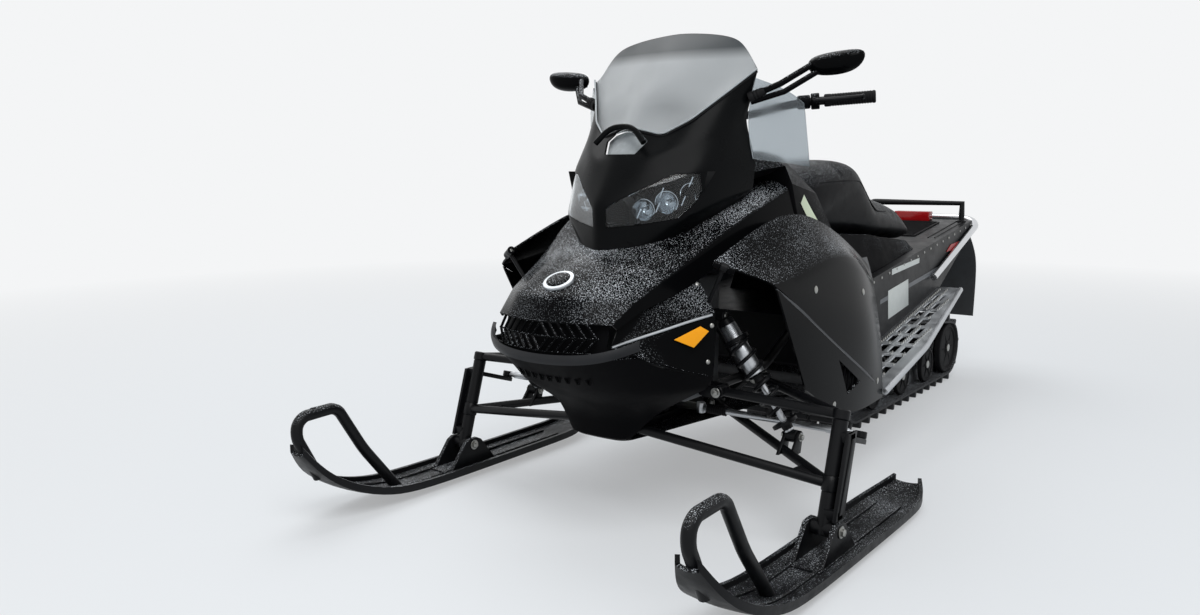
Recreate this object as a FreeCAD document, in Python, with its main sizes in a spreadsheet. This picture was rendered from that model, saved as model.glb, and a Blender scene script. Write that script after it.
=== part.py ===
import FreeCAD, Part
import math
import os
from FreeCAD import Vector, Placement, Rotation

# Snowmobile with two steered skis and one track. Millimetres, +Z up, the front is -Y,
# the rider's left is +X, and the origin is on the ground under the middle of the machine.

doc = FreeCAD.newDocument("snowmobile")
sheet = doc.addObject("Spreadsheet::Sheet", "dims")

# Driving dimensions: name, value in millimetres or degrees
SIZES = [
    ("fit_gap", 0.3), ("bore_gap", 0.4), ("panel_wall", 5), ("clear_wall", 4),
    ("lip_tall", 22), ("lip_thick", 12),
    # track and its wheels
    ("track_width", 381), ("belt_thick", 7), ("lug_height", 28), ("lug_base", 24), ("lug_tip", 11),
    ("lug_count", 42), ("idler_radius", 97), ("idler_width", 24), ("idler_out", 160),
    ("rear_axle_y", 1052), ("bend_radius", 120), ("bend_y", 165), ("drive_y", -150), ("drive_z", 300),
    ("drive_radius", 88), ("sprocket_width", 34), ("sprocket_out", 62), ("axle_radius", 13),
    ("small_idler_radius", 66), ("small_idler_width", 18), ("rail_out", 134), ("rail_thick", 14),
    ("rail_height", 62), ("shaft_radius", 9),
    # tunnel, boards and rear end
    ("tunnel_clear", 31.5), ("tunnel_wall", 3), ("tunnel_front", -300), ("tunnel_rear", 1150),
    ("tunnel_rear_z", 624), ("tunnel_slope", 7.5), ("tunnel_tail_low", 788), ("tunnel_tail_drop", 40),
    ("board_front", -130), ("board_front_z", 214), ("board_slope", 11.3), ("board_thick", 5),
    ("board_wide_front", 163), ("board_wide_mid", 153), ("board_wide_rear", 78), ("board_mid", 220),
    ("board_rear", 790), ("board_tube", 9), ("drop_clear", 10), ("drop_wide_low", 18),
    ("drop_wide_high", 40), ("rail_hole_long", 62), ("rail_hole_wide", 26), ("rail_hole_web", 22),
    ("arm_foot_drop", 20), ("arm_leg_in", 37), ("bumper_long", 456), ("bumper_low_drop", 118),
    ("bumper_drop", 14),
    ("bumper_tube", 12), ("grab_tube", 12), ("grab_z", 690), ("grab_back", 30), ("grab_in", 32),
    ("flap_half", 178), ("flap_lead", 70), ("flap_lead_drop", 12), ("flap_thick", 5),
    ("flap_low_z", 212), ("flap_low_out", 235), ("flap_mid_z", 425),
    ("flap_mid_out", 262), ("lamp_half", 70), ("lamp_deep", 45), ("lamp_tall", 38),
    ("mat_front", 810), ("mat_back", 70), ("mat_half", 120), ("mat_thick", 4),
    # skis and steering
    ("ski_out", 540), ("ski_width", 145), ("ski_floor", 9), ("ski_lip", 24), ("ski_bottom", 14),
    ("ski_tip_y", -1428), ("ski_tip_z", 208), ("ski_tail_y", -364), ("loop_radius", 14), ("loop_top_z", 286),
    ("runner_radius", 5), ("king_lean", 17.8), ("king_low_y", -836), ("king_low_z", 172),
    ("king_high_z", 315), ("king_radius", 17), ("steer_arm", 140), ("steer_arm_z", 270), ("rod_radius", 8),
    ("rod_eye_radius", 14), ("rod_eye_tall", 16), ("steer_arm_thick", 12),
    ("link_radius", 10), ("link_joint_half", 13), ("rod_in", 120),
    ("rod_in_z", 245), ("ball_radius", 19), ("lower_boss", 18), ("upper_boss", 12), ("ski_bolt_z", 82),
    ("arm_tube", 11), ("block_half", 30),
    # front suspension
    ("lower_front_x", 60), ("lower_front_y", -920), ("lower_rear_x", 110), ("lower_rear_y", -590),
    ("lower_in_z", 243), ("upper_in_x", 238), ("upper_front_y", -785), ("upper_rear_y", -600),
    ("upper_in_z", 324), ("shock_top_x", 225), ("shock_top_y", -764), ("shock_top_z", 500),
    ("shock_low_x", 395), ("shock_low_y", -725), ("shock_low_z", 228), ("shock_body", 19),
    ("shock_shaft", 8), ("eye_half", 12), ("eye_radius", 15), ("ear_thick", 8), ("ear_low_z", 190),
    ("collar_low", 40), ("collar_high", 62), ("collar_thick", 10), ("shock_body_long", 150),
    ("coil_radius", 25), ("coil_wire", 4.5), ("coil_turns", 6), ("keel_top_z", 229),
    ("keel_thick", 15.7), ("tower_tube", 12), ("back_tube_z", 400), ("boss_half", 18), ("lug_thick", 7),
    ("hinge_pin", 5), ("hinge_ring", 10), ("hinge_ring_long", 16),
    # engine and controls
    ("engine_half", 185), ("engine_front", -855), ("engine_rear", -700), ("engine_low", 300),
    ("engine_high", 590), ("mount_half", 40), ("mount_deep", 24),
    ("bar_y", -385), ("bar_z", 972), ("bar_half", 365), ("bar_end_y", -240),
    ("bar_end_z", 1021), ("bar_radius", 11), ("grip_radius", 16.5), ("grip_long", 125),
    ("clamp_half", 34), ("clamp_radius", 24), ("perch_room", 34), ("perch_long", 22),
    ("perch_radius", 21), ("lever_ahead", 34), ("lever_radius", 6), ("lever_long", 122),
    ("post_lean", 22.3), ("post_radius", 15), ("post_low_z", 300), ("post_hole", 34),
    ("mirror_out", 395), ("mirror_y", -550), ("mirror_z", 1077), ("mirror_wide", 130), ("mirror_tall", 72),
    ("mirror_deep", 34), ("stalk_radius", 8), ("boot_radius", 13), ("gauge_radius", 48),
    ("gauge_thick", 24), ("gauge_y", -575), ("gauge_z", 895), ("lens_thick", 3),
]
for row, (alias, value) in enumerate(SIZES, start=1):
    sheet.set(f"A{row}", alias)
    sheet.set(f"B{row}", str(value))
    sheet.setAlias(f"B{row}", alias)
doc.recompute()


def size(alias):
    return float(sheet.get(alias))


def slope(alias):
    return math.tan(math.radians(size(alias)))


def tunnel_half():
    """Half width of the tunnel that straddles the track."""
    return size("track_width") / 2 + size("tunnel_clear")


# Building helpers

subparts = []


def publish(obj, label):
    obj.Label = label
    subparts.append(obj)
    return obj


def feature(label, shape):
    obj = doc.addObject("Part::Feature", label)
    obj.Shape = shape
    return publish(obj, label)


def mirrored(shape):
    return shape.mirror(Vector(0, 0, 0), Vector(1, 0, 0))


def pair(label, shape):
    """The left piece and its mirror image as separate solids of one sub-part."""
    return feature(label, Part.makeCompound([shape, mirrored(shape)]))


def side_sketch(name, outline):
    """Closed sketch on the machine's side plane from (y, z) points."""
    sketch = doc.addObject("Sketcher::SketchObject", name)
    sketch.Placement = Placement(Vector(0, 0, 0), Rotation(Vector(1, 1, 1), 120))
    points = [Vector(y, z, 0) for y, z in outline]
    for a, b in zip(points, points[1:] + points[:1]):
        sketch.addGeometry(Part.LineSegment(a, b))
    return sketch


def side_extrusion(name, outline, width):
    """Extrusion of a side outline, as wide as the expression says, about the middle plane."""
    obj = doc.addObject("Part::Extrusion", name)
    obj.Base = side_sketch(name + "_outline", outline)
    obj.DirMode = "Custom"
    obj.Dir = Vector(1, 0, 0)
    obj.Solid = True
    obj.Symmetric = True
    obj.setExpression("LengthFwd", width)
    return obj


def boolean(kind, name, base, tool):
    obj = doc.addObject("Part::" + kind, name)
    obj.Base = base
    obj.Tool = tool
    return obj


def slab(outline, x_low, x_high):
    """Solid of a (y, z) outline between two x values."""
    wire = Part.makePolygon([Vector(x_low, y, z) for y, z in outline + outline[:1]])
    return Part.Face(wire).extrude(Vector(x_high - x_low, 0, 0))


def block(low, high):
    return Part.makeBox(high[0] - low[0], high[1] - low[1], high[2] - low[2], Vector(*low))


def round_rod(start, end, radius):
    a, b = Vector(*start), Vector(*end)
    return Part.makeCylinder(radius, (b - a).Length, a, b - a)


def ring_about(centre, along, radius, sides):
    """Corners of a regular polygon square to a direction."""
    steep = abs(along.z) > 0.9 * along.Length
    across = along.cross(Vector(0, 1, 0) if steep else Vector(0, 0, 1)).normalize()
    other = along.cross(across).normalize()
    corners = []
    for k in range(sides):
        turn = 2 * math.pi * (k + 0.5) / sides
        corners.append(centre + (across * math.cos(turn) + other * math.sin(turn)) * radius)
    return corners


def rod(start, end, radius, sides=8):
    """Straight bar with flat sides inside its radius."""
    a, b = Vector(*start), Vector(*end)
    corners = ring_about(a, b - a, radius, sides)
    return Part.Face(Part.makePolygon(corners + corners[:1])).extrude(b - a)


def rounded(points, bend, steps):
    """Path with each corner replaced by points of a tangent arc, limited by its shorter run."""
    path = [points[0]]
    for before, corner, after in zip(points, points[1:], points[2:]):
        into, out = (before - corner), (after - corner)
        half_turn = (math.pi - into.getAngle(out)) / 2
        reach = min(bend * math.tan(half_turn), 0.45 * into.Length, 0.45 * out.Length)
        enter = corner + into.normalize() * reach
        leave = corner + out.normalize() * reach
        for k in range(steps + 1):
            share = k / steps
            path.append(enter * (1 - share) ** 2 + corner * (2 * share * (1 - share)) + leave * share ** 2)
    return path + [points[-1]]


def pipe(points, radius, bend, sides=8, steps=3):
    """Bar with flat sides along a path with rounded corners, mitred at each joint."""
    path = rounded([Vector(*p) for p in points], bend, steps)
    rings = [ring_about(path[0], path[1] - path[0], radius, sides)]
    for k in range(1, len(path)):
        run = (path[k] - path[k - 1]).normalize()
        square = run
        if k < len(path) - 1:
            square = run + (path[k + 1] - path[k]).normalize()
        rings.append([c + run * ((path[k] - c).dot(square) / run.dot(square)) for c in rings[-1]])
    return banded(rings)


def trimmed(shape, neighbours):
    """The shape cut back to its neighbours, without the crumbs behind them."""
    rest = shape.cut(neighbours)
    return max(rest.Solids, key=lambda solid: solid.Volume)


def lofted(sections):
    """Solid through closed flat sections, straight between them."""
    wires = [Part.makePolygon([Vector(*p) for p in s + s[:1]]) for s in sections]
    return Part.makeLoft(wires, True, True)


def facets(quad):
    """One flat face for four points in a plane, or two triangles, alike on both sides of the machine."""
    if sum(point.x for point in quad) < 0:
        quad = quad[1:] + quad[:1]
    a, b, c, d = quad
    normal = (b - a).cross(c - a)
    if normal.Length > 1e-6 and abs((d - a).dot(normal.normalize())) < 1e-4:
        rings = [[a, b, c, d]]
    else:
        rings = [[a, b, c], [a, c, d]]
    faces = []
    for ring in rings:
        if (ring[1] - ring[0]).cross(ring[2] - ring[0]).Length > 1e-6:
            faces.append(Part.Face(Part.makePolygon(ring + ring[:1])))
    return faces


def closed_solid(faces):
    shell = Part.makeShell(faces)
    shell.sewShape()
    solid = Part.makeSolid(Part.Shell(shell.Faces))
    if solid.Volume < 0:
        solid.reverse()
    return solid


def banded(rings):
    """Solid between rings of corners, closed at both ends."""
    faces = []
    for one, two in zip(rings, rings[1:]):
        count = len(one)
        for s in range(count):
            faces += facets([one[s], one[(s + 1) % count], two[(s + 1) % count], two[s]])
    for ring in (rings[0], rings[-1]):
        faces.append(Part.Face(Part.makePolygon(ring + ring[:1])))
    return closed_solid(faces)


def skin(rows, wall):
    """Wall of even thickness inside a grid of surface points, whose rows run up or backwards."""
    rows = [[Vector(*p) for p in row] for row in rows]
    last_row, last_col = len(rows) - 1, len(rows[0]) - 1
    inner = []
    for i, row in enumerate(rows):
        inner_row = []
        for j, point in enumerate(row):
            down = rows[min(i + 1, last_row)][j] - rows[max(i - 1, 0)][j]
            along = row[min(j + 1, last_col)] - row[max(j - 1, 0)]
            normal = along.cross(down)
            inner_row.append(point - normal.normalize() * wall)
        inner.append(inner_row)
    faces = []
    for i in range(last_row):
        for j in range(last_col):
            for grid in (rows, inner):
                faces += facets([grid[i][j], grid[i][j + 1], grid[i + 1][j + 1], grid[i + 1][j]])
    border = [(0, j) for j in range(last_col)] + [(i, last_col) for i in range(last_row)]
    border += [(last_row, j) for j in range(last_col, 0, -1)] + [(i, 0) for i in range(last_row, 0, -1)]
    for (i, j), (k, m) in zip(border, border[1:] + border[:1]):
        faces += facets([rows[i][j], rows[k][m], inner[k][m], inner[i][j]])
    return closed_solid(faces)


def full_rows(half_rows):
    """Rows from the right edge to the left edge, from rows that start on the middle plane."""
    return [[(-x, y, z) for x, y, z in reversed(row[1:])] + row for row in half_rows]


# Track: a belt round three wheels, with its lugs in the outline

ground_to_belt = size("lug_height") + size("belt_thick")
WHEELS = [
    (size("bend_y"), ground_to_belt + size("bend_radius"), size("bend_radius")),
    (size("rear_axle_y"), ground_to_belt + size("idler_radius"), size("idler_radius")),
    (size("drive_y"), size("drive_z"), size("drive_radius")),
]


def belt_runs():
    """Tangent runs between the wheels, each with the angle of its outward normal."""
    runs = []
    for (y1, z1, r1), (y2, z2, r2) in zip(WHEELS, WHEELS[1:] + WHEELS[:1]):
        length = math.hypot(y2 - y1, z2 - z1)
        heading = math.atan2(z2 - z1, y2 - y1)
        normal = heading - math.acos((r1 - r2) / length)
        start = (y1 + r1 * math.cos(normal), z1 + r1 * math.sin(normal))
        end = (y2 + r2 * math.cos(normal), z2 + r2 * math.sin(normal))
        runs.append((start, end, normal))
    return runs


def belt_pieces():
    pieces = []
    runs = belt_runs()
    for k, (start, end, normal) in enumerate(runs):
        pieces.append(("run", math.dist(start, end), start, end, normal))
        y, z, radius = WHEELS[(k + 1) % len(WHEELS)]
        turn = (runs[(k + 1) % len(runs)][2] - normal) % (2 * math.pi)
        pieces.append(("arc", radius * turn, (y, z), radius, normal))
    return pieces


BELT = belt_pieces()
belt_length = sum(piece[1] for piece in BELT)


def belt_point(distance, height):
    """Point at a distance along the inside of the belt, lifted outwards by a height."""
    distance %= belt_length
    for kind, length, first, second, normal in BELT:
        if distance <= length:
            break
        distance -= length
    if kind == "arc":
        normal += distance / second
        reach = second + height
        return (first[0] + reach * math.cos(normal), first[1] + reach * math.sin(normal))
    share = distance / length
    y = first[0] + share * (second[0] - first[0]) + height * math.cos(normal)
    z = first[1] + share * (second[1] - first[1]) + height * math.sin(normal)
    return (y, z)


BELT_STEPS = 4


def running_radius(radius):
    """Radius of a wheel that runs inside the belt, which is flat between its bending lines."""
    step = belt_length / size("lug_count") / BELT_STEPS
    return radius - step ** 2 / (8 * radius) - size("fit_gap")


def track():
    pitch = belt_length / size("lug_count")
    belt, tip = size("belt_thick"), size("belt_thick") + size("lug_height")
    outer, inner = [], []
    for k in range(int(size("lug_count"))):
        middle = (k + 0.5) * pitch
        outer.append(belt_point(middle - size("lug_base") / 2, belt))
        outer.append(belt_point(middle - size("lug_tip") / 2, tip))
        outer.append(belt_point(middle + size("lug_tip") / 2, tip))
        outer.append(belt_point(middle + size("lug_base") / 2, belt))
        outer.append(belt_point(middle + pitch / 2, belt))
        for step in range(BELT_STEPS):
            inner.append(belt_point(k * pitch + step * pitch / BELT_STEPS, 0))
    lugged = side_extrusion("track_outside", outer, "dims.track_width")
    hollow = side_extrusion("track_inside", inner, "dims.track_width + 2")
    publish(boolean("Cut", "track_loop", lugged, hollow), "track")


track()


# Suspension inside the track

def wheel(y, z, x_in, radius, width):
    """Rubber-tyred disc wheel with a hub, on the left side."""
    rim = rod((x_in, y, z), (x_in + width, y, z), running_radius(radius), 16)
    dish = rod((x_in + width * 0.7, y, z), (x_in + width + 1, y, z), radius * 0.72, 12)
    hub = rod((x_in + width * 0.6, y, z), (x_in + width, y, z), radius * 0.25, 6)
    return rim.cut(dish).fuse(hub)


SMALL_IDLERS = [330, 590, 840]
small_axle_z = ground_to_belt + size("small_idler_radius")
rear_axle_z = ground_to_belt + size("idler_radius")


def idler_wheels():
    rear = wheel(size("rear_axle_y"), rear_axle_z, size("idler_out"), size("idler_radius"),
                 size("idler_width"))
    small = [wheel(y, small_axle_z, size("idler_out"), size("small_idler_radius"),
                   size("small_idler_width")) for y in SMALL_IDLERS]
    wheels = [rear] + small
    axles = []
    reach = size("idler_out") + 1
    axles.append(rod((-reach, size("rear_axle_y"), rear_axle_z), (reach, size("rear_axle_y"), rear_axle_z),
                     size("axle_radius"), 8))
    for y in SMALL_IDLERS:
        axles.append(rod((-reach, y, small_axle_z), (reach, y, small_axle_z), size("shaft_radius"), 8))
    joined = []
    for axle, left in zip(axles, wheels):
        joined.append(axle.fuse([left, mirrored(left)]))
    feature("idler_wheels", Part.makeCompound(joined))


def slide_rails():
    floor = ground_to_belt + size("fit_gap")
    top = floor + size("rail_height")
    bend = size("bend_radius") - size("fit_gap")
    bend_z = ground_to_belt + size("bend_radius")
    nose = []
    for degrees in (0, 14, 28, 42, 56):
        turn = math.radians(degrees)
        nose.append((size("bend_y") - bend * math.sin(turn), bend_z - bend * math.cos(turn)))
    tail = size("rear_axle_y") + 2 * size("axle_radius")
    outline = [(tail - 40, floor)] + nose
    outline += [(nose[-1][0] + 30, nose[-1][1] + 34), (size("bend_y") - 5, top), (tail - 90, top)]
    outline += [(tail - 60, rear_axle_z + 24), (tail, rear_axle_z + 24), (tail, rear_axle_z - 20)]
    rail_in = size("rail_out") - size("rail_thick") / 2
    rail = slab(outline, rail_in, rail_in + size("rail_thick"))
    far = size("rail_out") + size("rail_thick")
    holes = [rod((0, size("rear_axle_y"), rear_axle_z), (far, size("rear_axle_y"), rear_axle_z),
                 size("axle_radius") + size("bore_gap"))]
    for y in SMALL_IDLERS:
        bore = size("shaft_radius") + size("bore_gap")
        holes.append(rod((0, y, small_axle_z), (far, y, small_axle_z), bore))
    pair("slide_rails", rail.cut(holes))


def drive_axle():
    y, z = size("drive_y"), size("drive_z")
    inside = tunnel_half() - size("tunnel_wall")
    axle = rod((-inside, y, z), (inside, y, z), size("axle_radius"))
    half = size("sprocket_width") / 2
    drum = rod((size("sprocket_out") - half, y, z), (size("sprocket_out") + half, y, z),
               running_radius(size("drive_radius")), 18)
    feature("drive_axle", axle.fuse([drum, mirrored(drum)]))


idler_wheels()
slide_rails()
drive_axle()


# Tunnel, boards and rear end

def tunnel_top(y):
    return size("tunnel_rear_z") - (size("tunnel_rear") - y) * slope("tunnel_slope")


def board_z(y):
    return size("board_front_z") + (y - size("board_front")) * slope("board_slope")


FRONT_ARM = (60, 300)
REAR_ARM = (450, 283)


def tunnel_profile():
    front, rear, low = size("tunnel_front"), size("tunnel_rear"), size("tunnel_tail_low")
    drop = size("board_thick")
    outline = [(front, board_z(front) - drop), (low, board_z(low) - drop)]
    outline += [(rear, tunnel_top(rear) - size("tunnel_tail_drop"))]
    return outline + [(rear, tunnel_top(rear)), (front, tunnel_top(front))]


def tunnel():
    front, rear = size("tunnel_front"), size("tunnel_rear")
    wall = size("tunnel_wall")
    beyond = 50
    void = [(front - beyond, 0), (rear + beyond, 0), (rear + beyond, tunnel_top(rear + beyond) - wall),
            (front + wall, tunnel_top(front + wall) - wall), (front + wall, size("drive_z")),
            (front - beyond, size("drive_z"))]
    outside = side_extrusion("tunnel_outside", tunnel_profile(), "dims.track_width + 2 * dims.tunnel_clear")
    inner_width = "dims.track_width + 2 * (dims.tunnel_clear - dims.tunnel_wall)"
    inside = side_extrusion("tunnel_inside", void, inner_width)
    channel = boolean("Cut", "tunnel_channel", outside, inside)
    arm_y, arm_z = REAR_ARM
    high, low = size("drop_wide_high"), size("drop_wide_low")
    plate_top, plate_low = board_z(arm_y) + 30, arm_z - 20
    drop_plate = [(arm_y - high, plate_top), (arm_y - low, plate_low),
                  (arm_y + low, plate_low), (arm_y + high, plate_top)]
    plates = side_extrusion("drop_plates", drop_plate, inner_width)
    plates_gap = side_extrusion("drop_plates_gap", drop_plate, "dims.track_width + 2 * dims.drop_clear")
    brackets = boolean("Cut", "drop_brackets", plates, plates_gap)
    publish(boolean("Fuse", "tunnel_body", channel, brackets), "tunnel")


def suspension_arms():
    inside = tunnel_half() - size("tunnel_wall")
    rail_in = size("rail_out") - size("rail_thick") / 2
    rail_top = ground_to_belt + size("fit_gap") + size("rail_height")
    bracket_in = size("track_width") / 2 + size("drop_clear")
    frames = []
    for (y, z), reach, foot_y in ((FRONT_ARM, inside, 235), (REAR_ARM, bracket_in, 700)):
        cross = rod((-reach, y, z), (reach, y, z), size("arm_tube"))
        foot_z = rail_top - size("arm_foot_drop")
        foot = rod((-rail_in, foot_y, foot_z), (rail_in, foot_y, foot_z), size("shaft_radius"))
        leg_x = rail_in - size("arm_leg_in")
        legs = [rod((side * leg_x, y, z), (side * leg_x, foot_y, foot_z), size("arm_tube"))
                for side in (-1, 1)]
        frames.append(cross.fuse([foot] + legs))
    feature("suspension_arms", Part.makeCompound(frames))


def running_boards():
    rise = 1 / math.cos(math.radians(size("board_slope")))
    mid = (size("board_mid") - size("board_front")) * rise
    end = (size("board_rear") - size("board_front")) * rise
    inner = tunnel_half()
    out_front, out_mid, out_rear = (inner + size("board_wide_" + place) for place in ("front", "mid", "rear"))
    thick = size("board_thick")
    corners = [(inner, 0), (out_front, 0), (out_mid, mid),
               (out_rear, end), (inner, end)]
    plate = Part.Face(Part.makePolygon([Vector(x, s, 0) for x, s in corners + corners[:1]]))
    plate = plate.extrude(Vector(0, 0, thick))
    edge = [(x, s, 0) for x, s in corners[1:4]]
    tube = pipe(edge, size("board_tube"), 300, 8, 1)
    board = plate.fuse(tube)
    holes = []
    pitch = size("rail_hole_long") + size("rail_hole_web")
    for k in range(int((end - 40) / pitch)):
        start = 30 + k * pitch
        far = start + size("rail_hole_long")
        share = max(0, (far - mid) / (end - mid))
        out = out_mid - share * (out_mid - out_rear)
        room = out - size("board_tube") - inner - 36
        columns = 3 if room > 2.6 * size("rail_hole_wide") + 20 else 2
        step = room / columns
        for c in range(columns):
            low = inner + 18 + c * step + 6
            holes.append(block((low, start, -1), (low + step - 12, far, thick + 1)))
    board = board.cut(holes)
    tilt = Placement(Vector(0, size("board_front"), size("board_front_z")),
                     Rotation(Vector(1, 0, 0), size("board_slope")))
    board.Placement = tilt
    pair("running_boards", board)


def rear_bumper():
    x = tunnel_half() + size("bumper_tube")
    rear, tube = size("tunnel_rear"), size("bumper_tube")
    low_y = rear - size("bumper_long")
    z_low = tunnel_top(low_y) - size("bumper_low_drop")
    z_rear = tunnel_top(rear) - size("bumper_drop")
    path = [(x, low_y, z_low), (x, rear + 30, z_rear), (x - 60, rear + 80, z_rear + 20)]
    path += [(-px, py, pz) for px, py, pz in reversed(path)]
    feature("rear_bumper", pipe(path, tube, 60))


def grab_bar():
    half, y, z = tunnel_half() - size("grab_in"), size("tunnel_rear") - size("grab_back"), size("grab_z")
    foot = tunnel_top(y) - size("grab_tube")
    path = [(half, y, foot), (half, y, z), (-half, y, z), (-half, y, foot)]
    under = slab(tunnel_profile(), -tunnel_half(), tunnel_half())
    feature("grab_bar", pipe(path, size("grab_tube"), 34).cut(under))


def snow_flap():
    top_y, top_z = size("tunnel_rear") + size("fit_gap"), tunnel_top(size("tunnel_rear")) - 1
    thick = size("flap_thick")
    mid_y, low_y = (size("tunnel_rear") + size("flap_" + place + "_out") - thick for place in ("mid", "low"))
    line = [(top_y, top_z), (top_y + size("flap_lead"), top_z - size("flap_lead_drop"))]
    line += [(mid_y, size("flap_mid_z")), (low_y, size("flap_low_z"))]
    outline = line + [(y + thick, z) for y, z in reversed(line)]
    publish(side_extrusion("snow_flap_sheet", outline, "2 * dims.flap_half"), "snow_flap")


def tail_lamp():
    y = size("tunnel_rear") - size("lamp_deep") - 4
    low = tunnel_top(y)
    half = size("lamp_half")
    housing = doc.addObject("Part::Box", "tail_lamp_housing")
    housing.setExpression("Length", "2 * dims.lamp_half")
    housing.setExpression("Width", "dims.lamp_deep")
    housing.setExpression("Height", "dims.lamp_tall")
    housing.Placement = Placement(Vector(-half, y, low), Rotation())
    under = side_extrusion("lamp_seat", tunnel_profile(), "dims.track_width + 2 * dims.tunnel_clear")
    publish(boolean("Cut", "tail_lamp_seated", housing, under), "tail_lamp")


def deck_mat():
    """Flat plate on the tunnel behind the seat."""
    front, rear = size("mat_front"), size("tunnel_rear") - size("mat_back")
    low = size("fit_gap")
    high = low + size("mat_thick")
    outline = [(front, tunnel_top(front) + low), (rear, tunnel_top(rear) + low),
               (rear, tunnel_top(rear) + high), (front, tunnel_top(front) + high)]
    publish(side_extrusion("deck_mat_plate", outline, "2 * dims.mat_half"), "deck_mat")


tunnel()
deck_mat()
suspension_arms()
running_boards()
rear_bumper()
grab_bar()
snow_flap()
tail_lamp()


# Fuel tank and seat

# Seat stations: y, then heights above the tunnel (low, middle, top), then half widths (low, middle, top)
SEAT = [
    (-70, 176.6, 271.6, 358.6, 95, 118, 70),
    (20, 160.8, 276.8, 374.8, 128, 148, 100),
    (270, 113.8, 239.8, 348.8, 165, 168, 128),
    (345, 92, 150, 228, 168, 172, 112),
    (640, 21.1, 93.1, 151.1, 162, 162, 94),
    (788, 0.7, 13.7, 31.7, 150, 150, 112),
]
# Tank stations under the seat: y, low half width, top half width, drop of its top below the seat's
TANK = [(-70, 150, 92), (20, 190, 126), (270, 196, 160), (345, 196, 164), (600, 190, 160)]


def seat_low(y):
    for (y1, low1), (y2, low2) in zip([s[:2] for s in SEAT], [s[:2] for s in SEAT[1:]]):
        if y1 <= y <= y2:
            return tunnel_top(y) + low1 + (low2 - low1) * (y - y1) / (y2 - y1)


def seat():
    sections = []
    for y, low, middle, top, low_half, middle_half, top_half in SEAT:
        deck = tunnel_top(y)
        half = [(low_half, y, deck + low), (middle_half, y, deck + middle), (top_half, y, deck + top)]
        sections.append(half + [(-x, y, z) for x, y, z in reversed(half)])
    feature("seat", lofted(sections))


def fuel_tank():
    sections = []
    for y, low_half, top_half in TANK:
        low, top = tunnel_top(y) + size("fit_gap"), seat_low(y) - size("fit_gap")
        half = [(low_half, y, low), (top_half, y, top)]
        sections.append(half + [(-x, y, z) for x, y, z in reversed(half)])
    feature("fuel_tank", lofted(sections))


seat()
fuel_tank()


# Bodywork. Half rows run from the middle plane outwards, as (x, y, z).

HOOD = [
    [(0, -1168, 520), (92, -1150, 519), (162, -1108, 516), (166, -1097, 506)],
    [(0, -1148, 569), (96, -1118, 567), (180, -1042, 564), (187, -1034, 540)],
    [(0, -1062, 618), (100, -1018, 620), (193, -965, 602), (205, -957, 560)],
    [(0, -965, 650), (84, -936, 655), (205, -893, 637), (223, -884, 585)],
    [(0, -860, 684), (130, -830, 692), (235, -799, 687), (250, -794, 635)],
    [(0, -740, 715), (172, -735, 733), (250, -715, 725), (264, -711, 670)],
    [(0, -640, 745), (205, -640, 782), (254, -640, 751), (270, -639, 700)],
    [(0, -505, 770), (215, -505, 812), (258, -505, 790), (275, -500, 725)],
]
POD = [
    [(0, -950, 640), (62, -930, 643), (118, -868, 665), (158, -790, 690), (190, -655, 745)],
    [(0, -950, 700), (112, -888, 709), (168, -858, 724), (207, -790, 757), (234, -640, 790)],
    [(0, -955, 752), (72, -905, 785), (132, -853, 818), (205, -790, 845), (240, -640, 850)],
    [(0, -885, 855), (75, -868, 860), (150, -800, 893), (208, -718, 922), (212, -640, 955)],
    [(0, -839, 933), (85, -808, 911), (140, -765, 947), (195, -695, 1010), (240, -640, 1062)],
]
WINDSHIELD = [
    [(0, -838, 933.5), (85, -807, 911.5), (140, -764, 947.5), (195, -694, 1010.5), (240, -639, 1062.5)],
    [(0, -770, 1012), (87, -752, 998), (145, -720, 1014), (194, -676, 1052), (239, -636, 1067)],
    [(0, -690, 1092), (88, -684, 1083), (148, -668, 1082), (192, -648, 1092), (237, -631, 1070)],
    [(0, -602, 1175), (90, -606, 1167), (150, -610, 1155), (190, -616, 1138), (233, -627, 1074)],
]
# Left side deflector, each row from its front edge to its rear edge
DEFLECTOR = [
    [(236, -646, 862), (295, -568, 850), (330, -536, 842)],
    [(212, -642, 955), (295, -575, 930), (326, -545, 915)],
    [(238.5, -646, 1050), (290, -585, 1025), (320, -554, 992)],
]
FASCIA = [
    [(203, -1090, 455), (249, -1010, 408), (285, -903, 384)],
    [(152, -1100, 466), (218, -1008, 496), (287, -898, 527)],
    [(160, -1062, 540), (190, -940, 586), (212, -862, 610)],
]
BELLY = [
    [(0, -320, 196), (60, -320, 196), (110, -320, 198), (150, -320, 203), (190, -320, 213)],
    [(0, -962, 208), (40, -961, 208), (60, -957, 208), (72, -951, 209), (80, -943, 210)],
    [(0, -982, 282), (64, -972, 282), (104, -956, 282), (132, -936, 284), (152, -915, 288)],
    [(0, -1085, 352), (110, -1070, 352), (180, -1020, 350), (225, -960, 350), (262, -892, 352)],
    [(0, -1178, 426), (130, -1152, 431), (205, -1090, 457), (250, -1005, 415), (286, -903, 386)],
]
# Reflector corners as shares of the fascia's middle line and of the fall below it, lower edge first
REFLECTOR = [[(0.168, 0.286), (0.468, 0.607)], [(0.676, 0.18), (0.799, 0.354)]]
# Bumper lip stations from the middle outwards: x, y, middle z
LIP = [(0, -1187, 437), (130, -1160, 442), (192, -1112, 462), (212, -1080, 474)]
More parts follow.
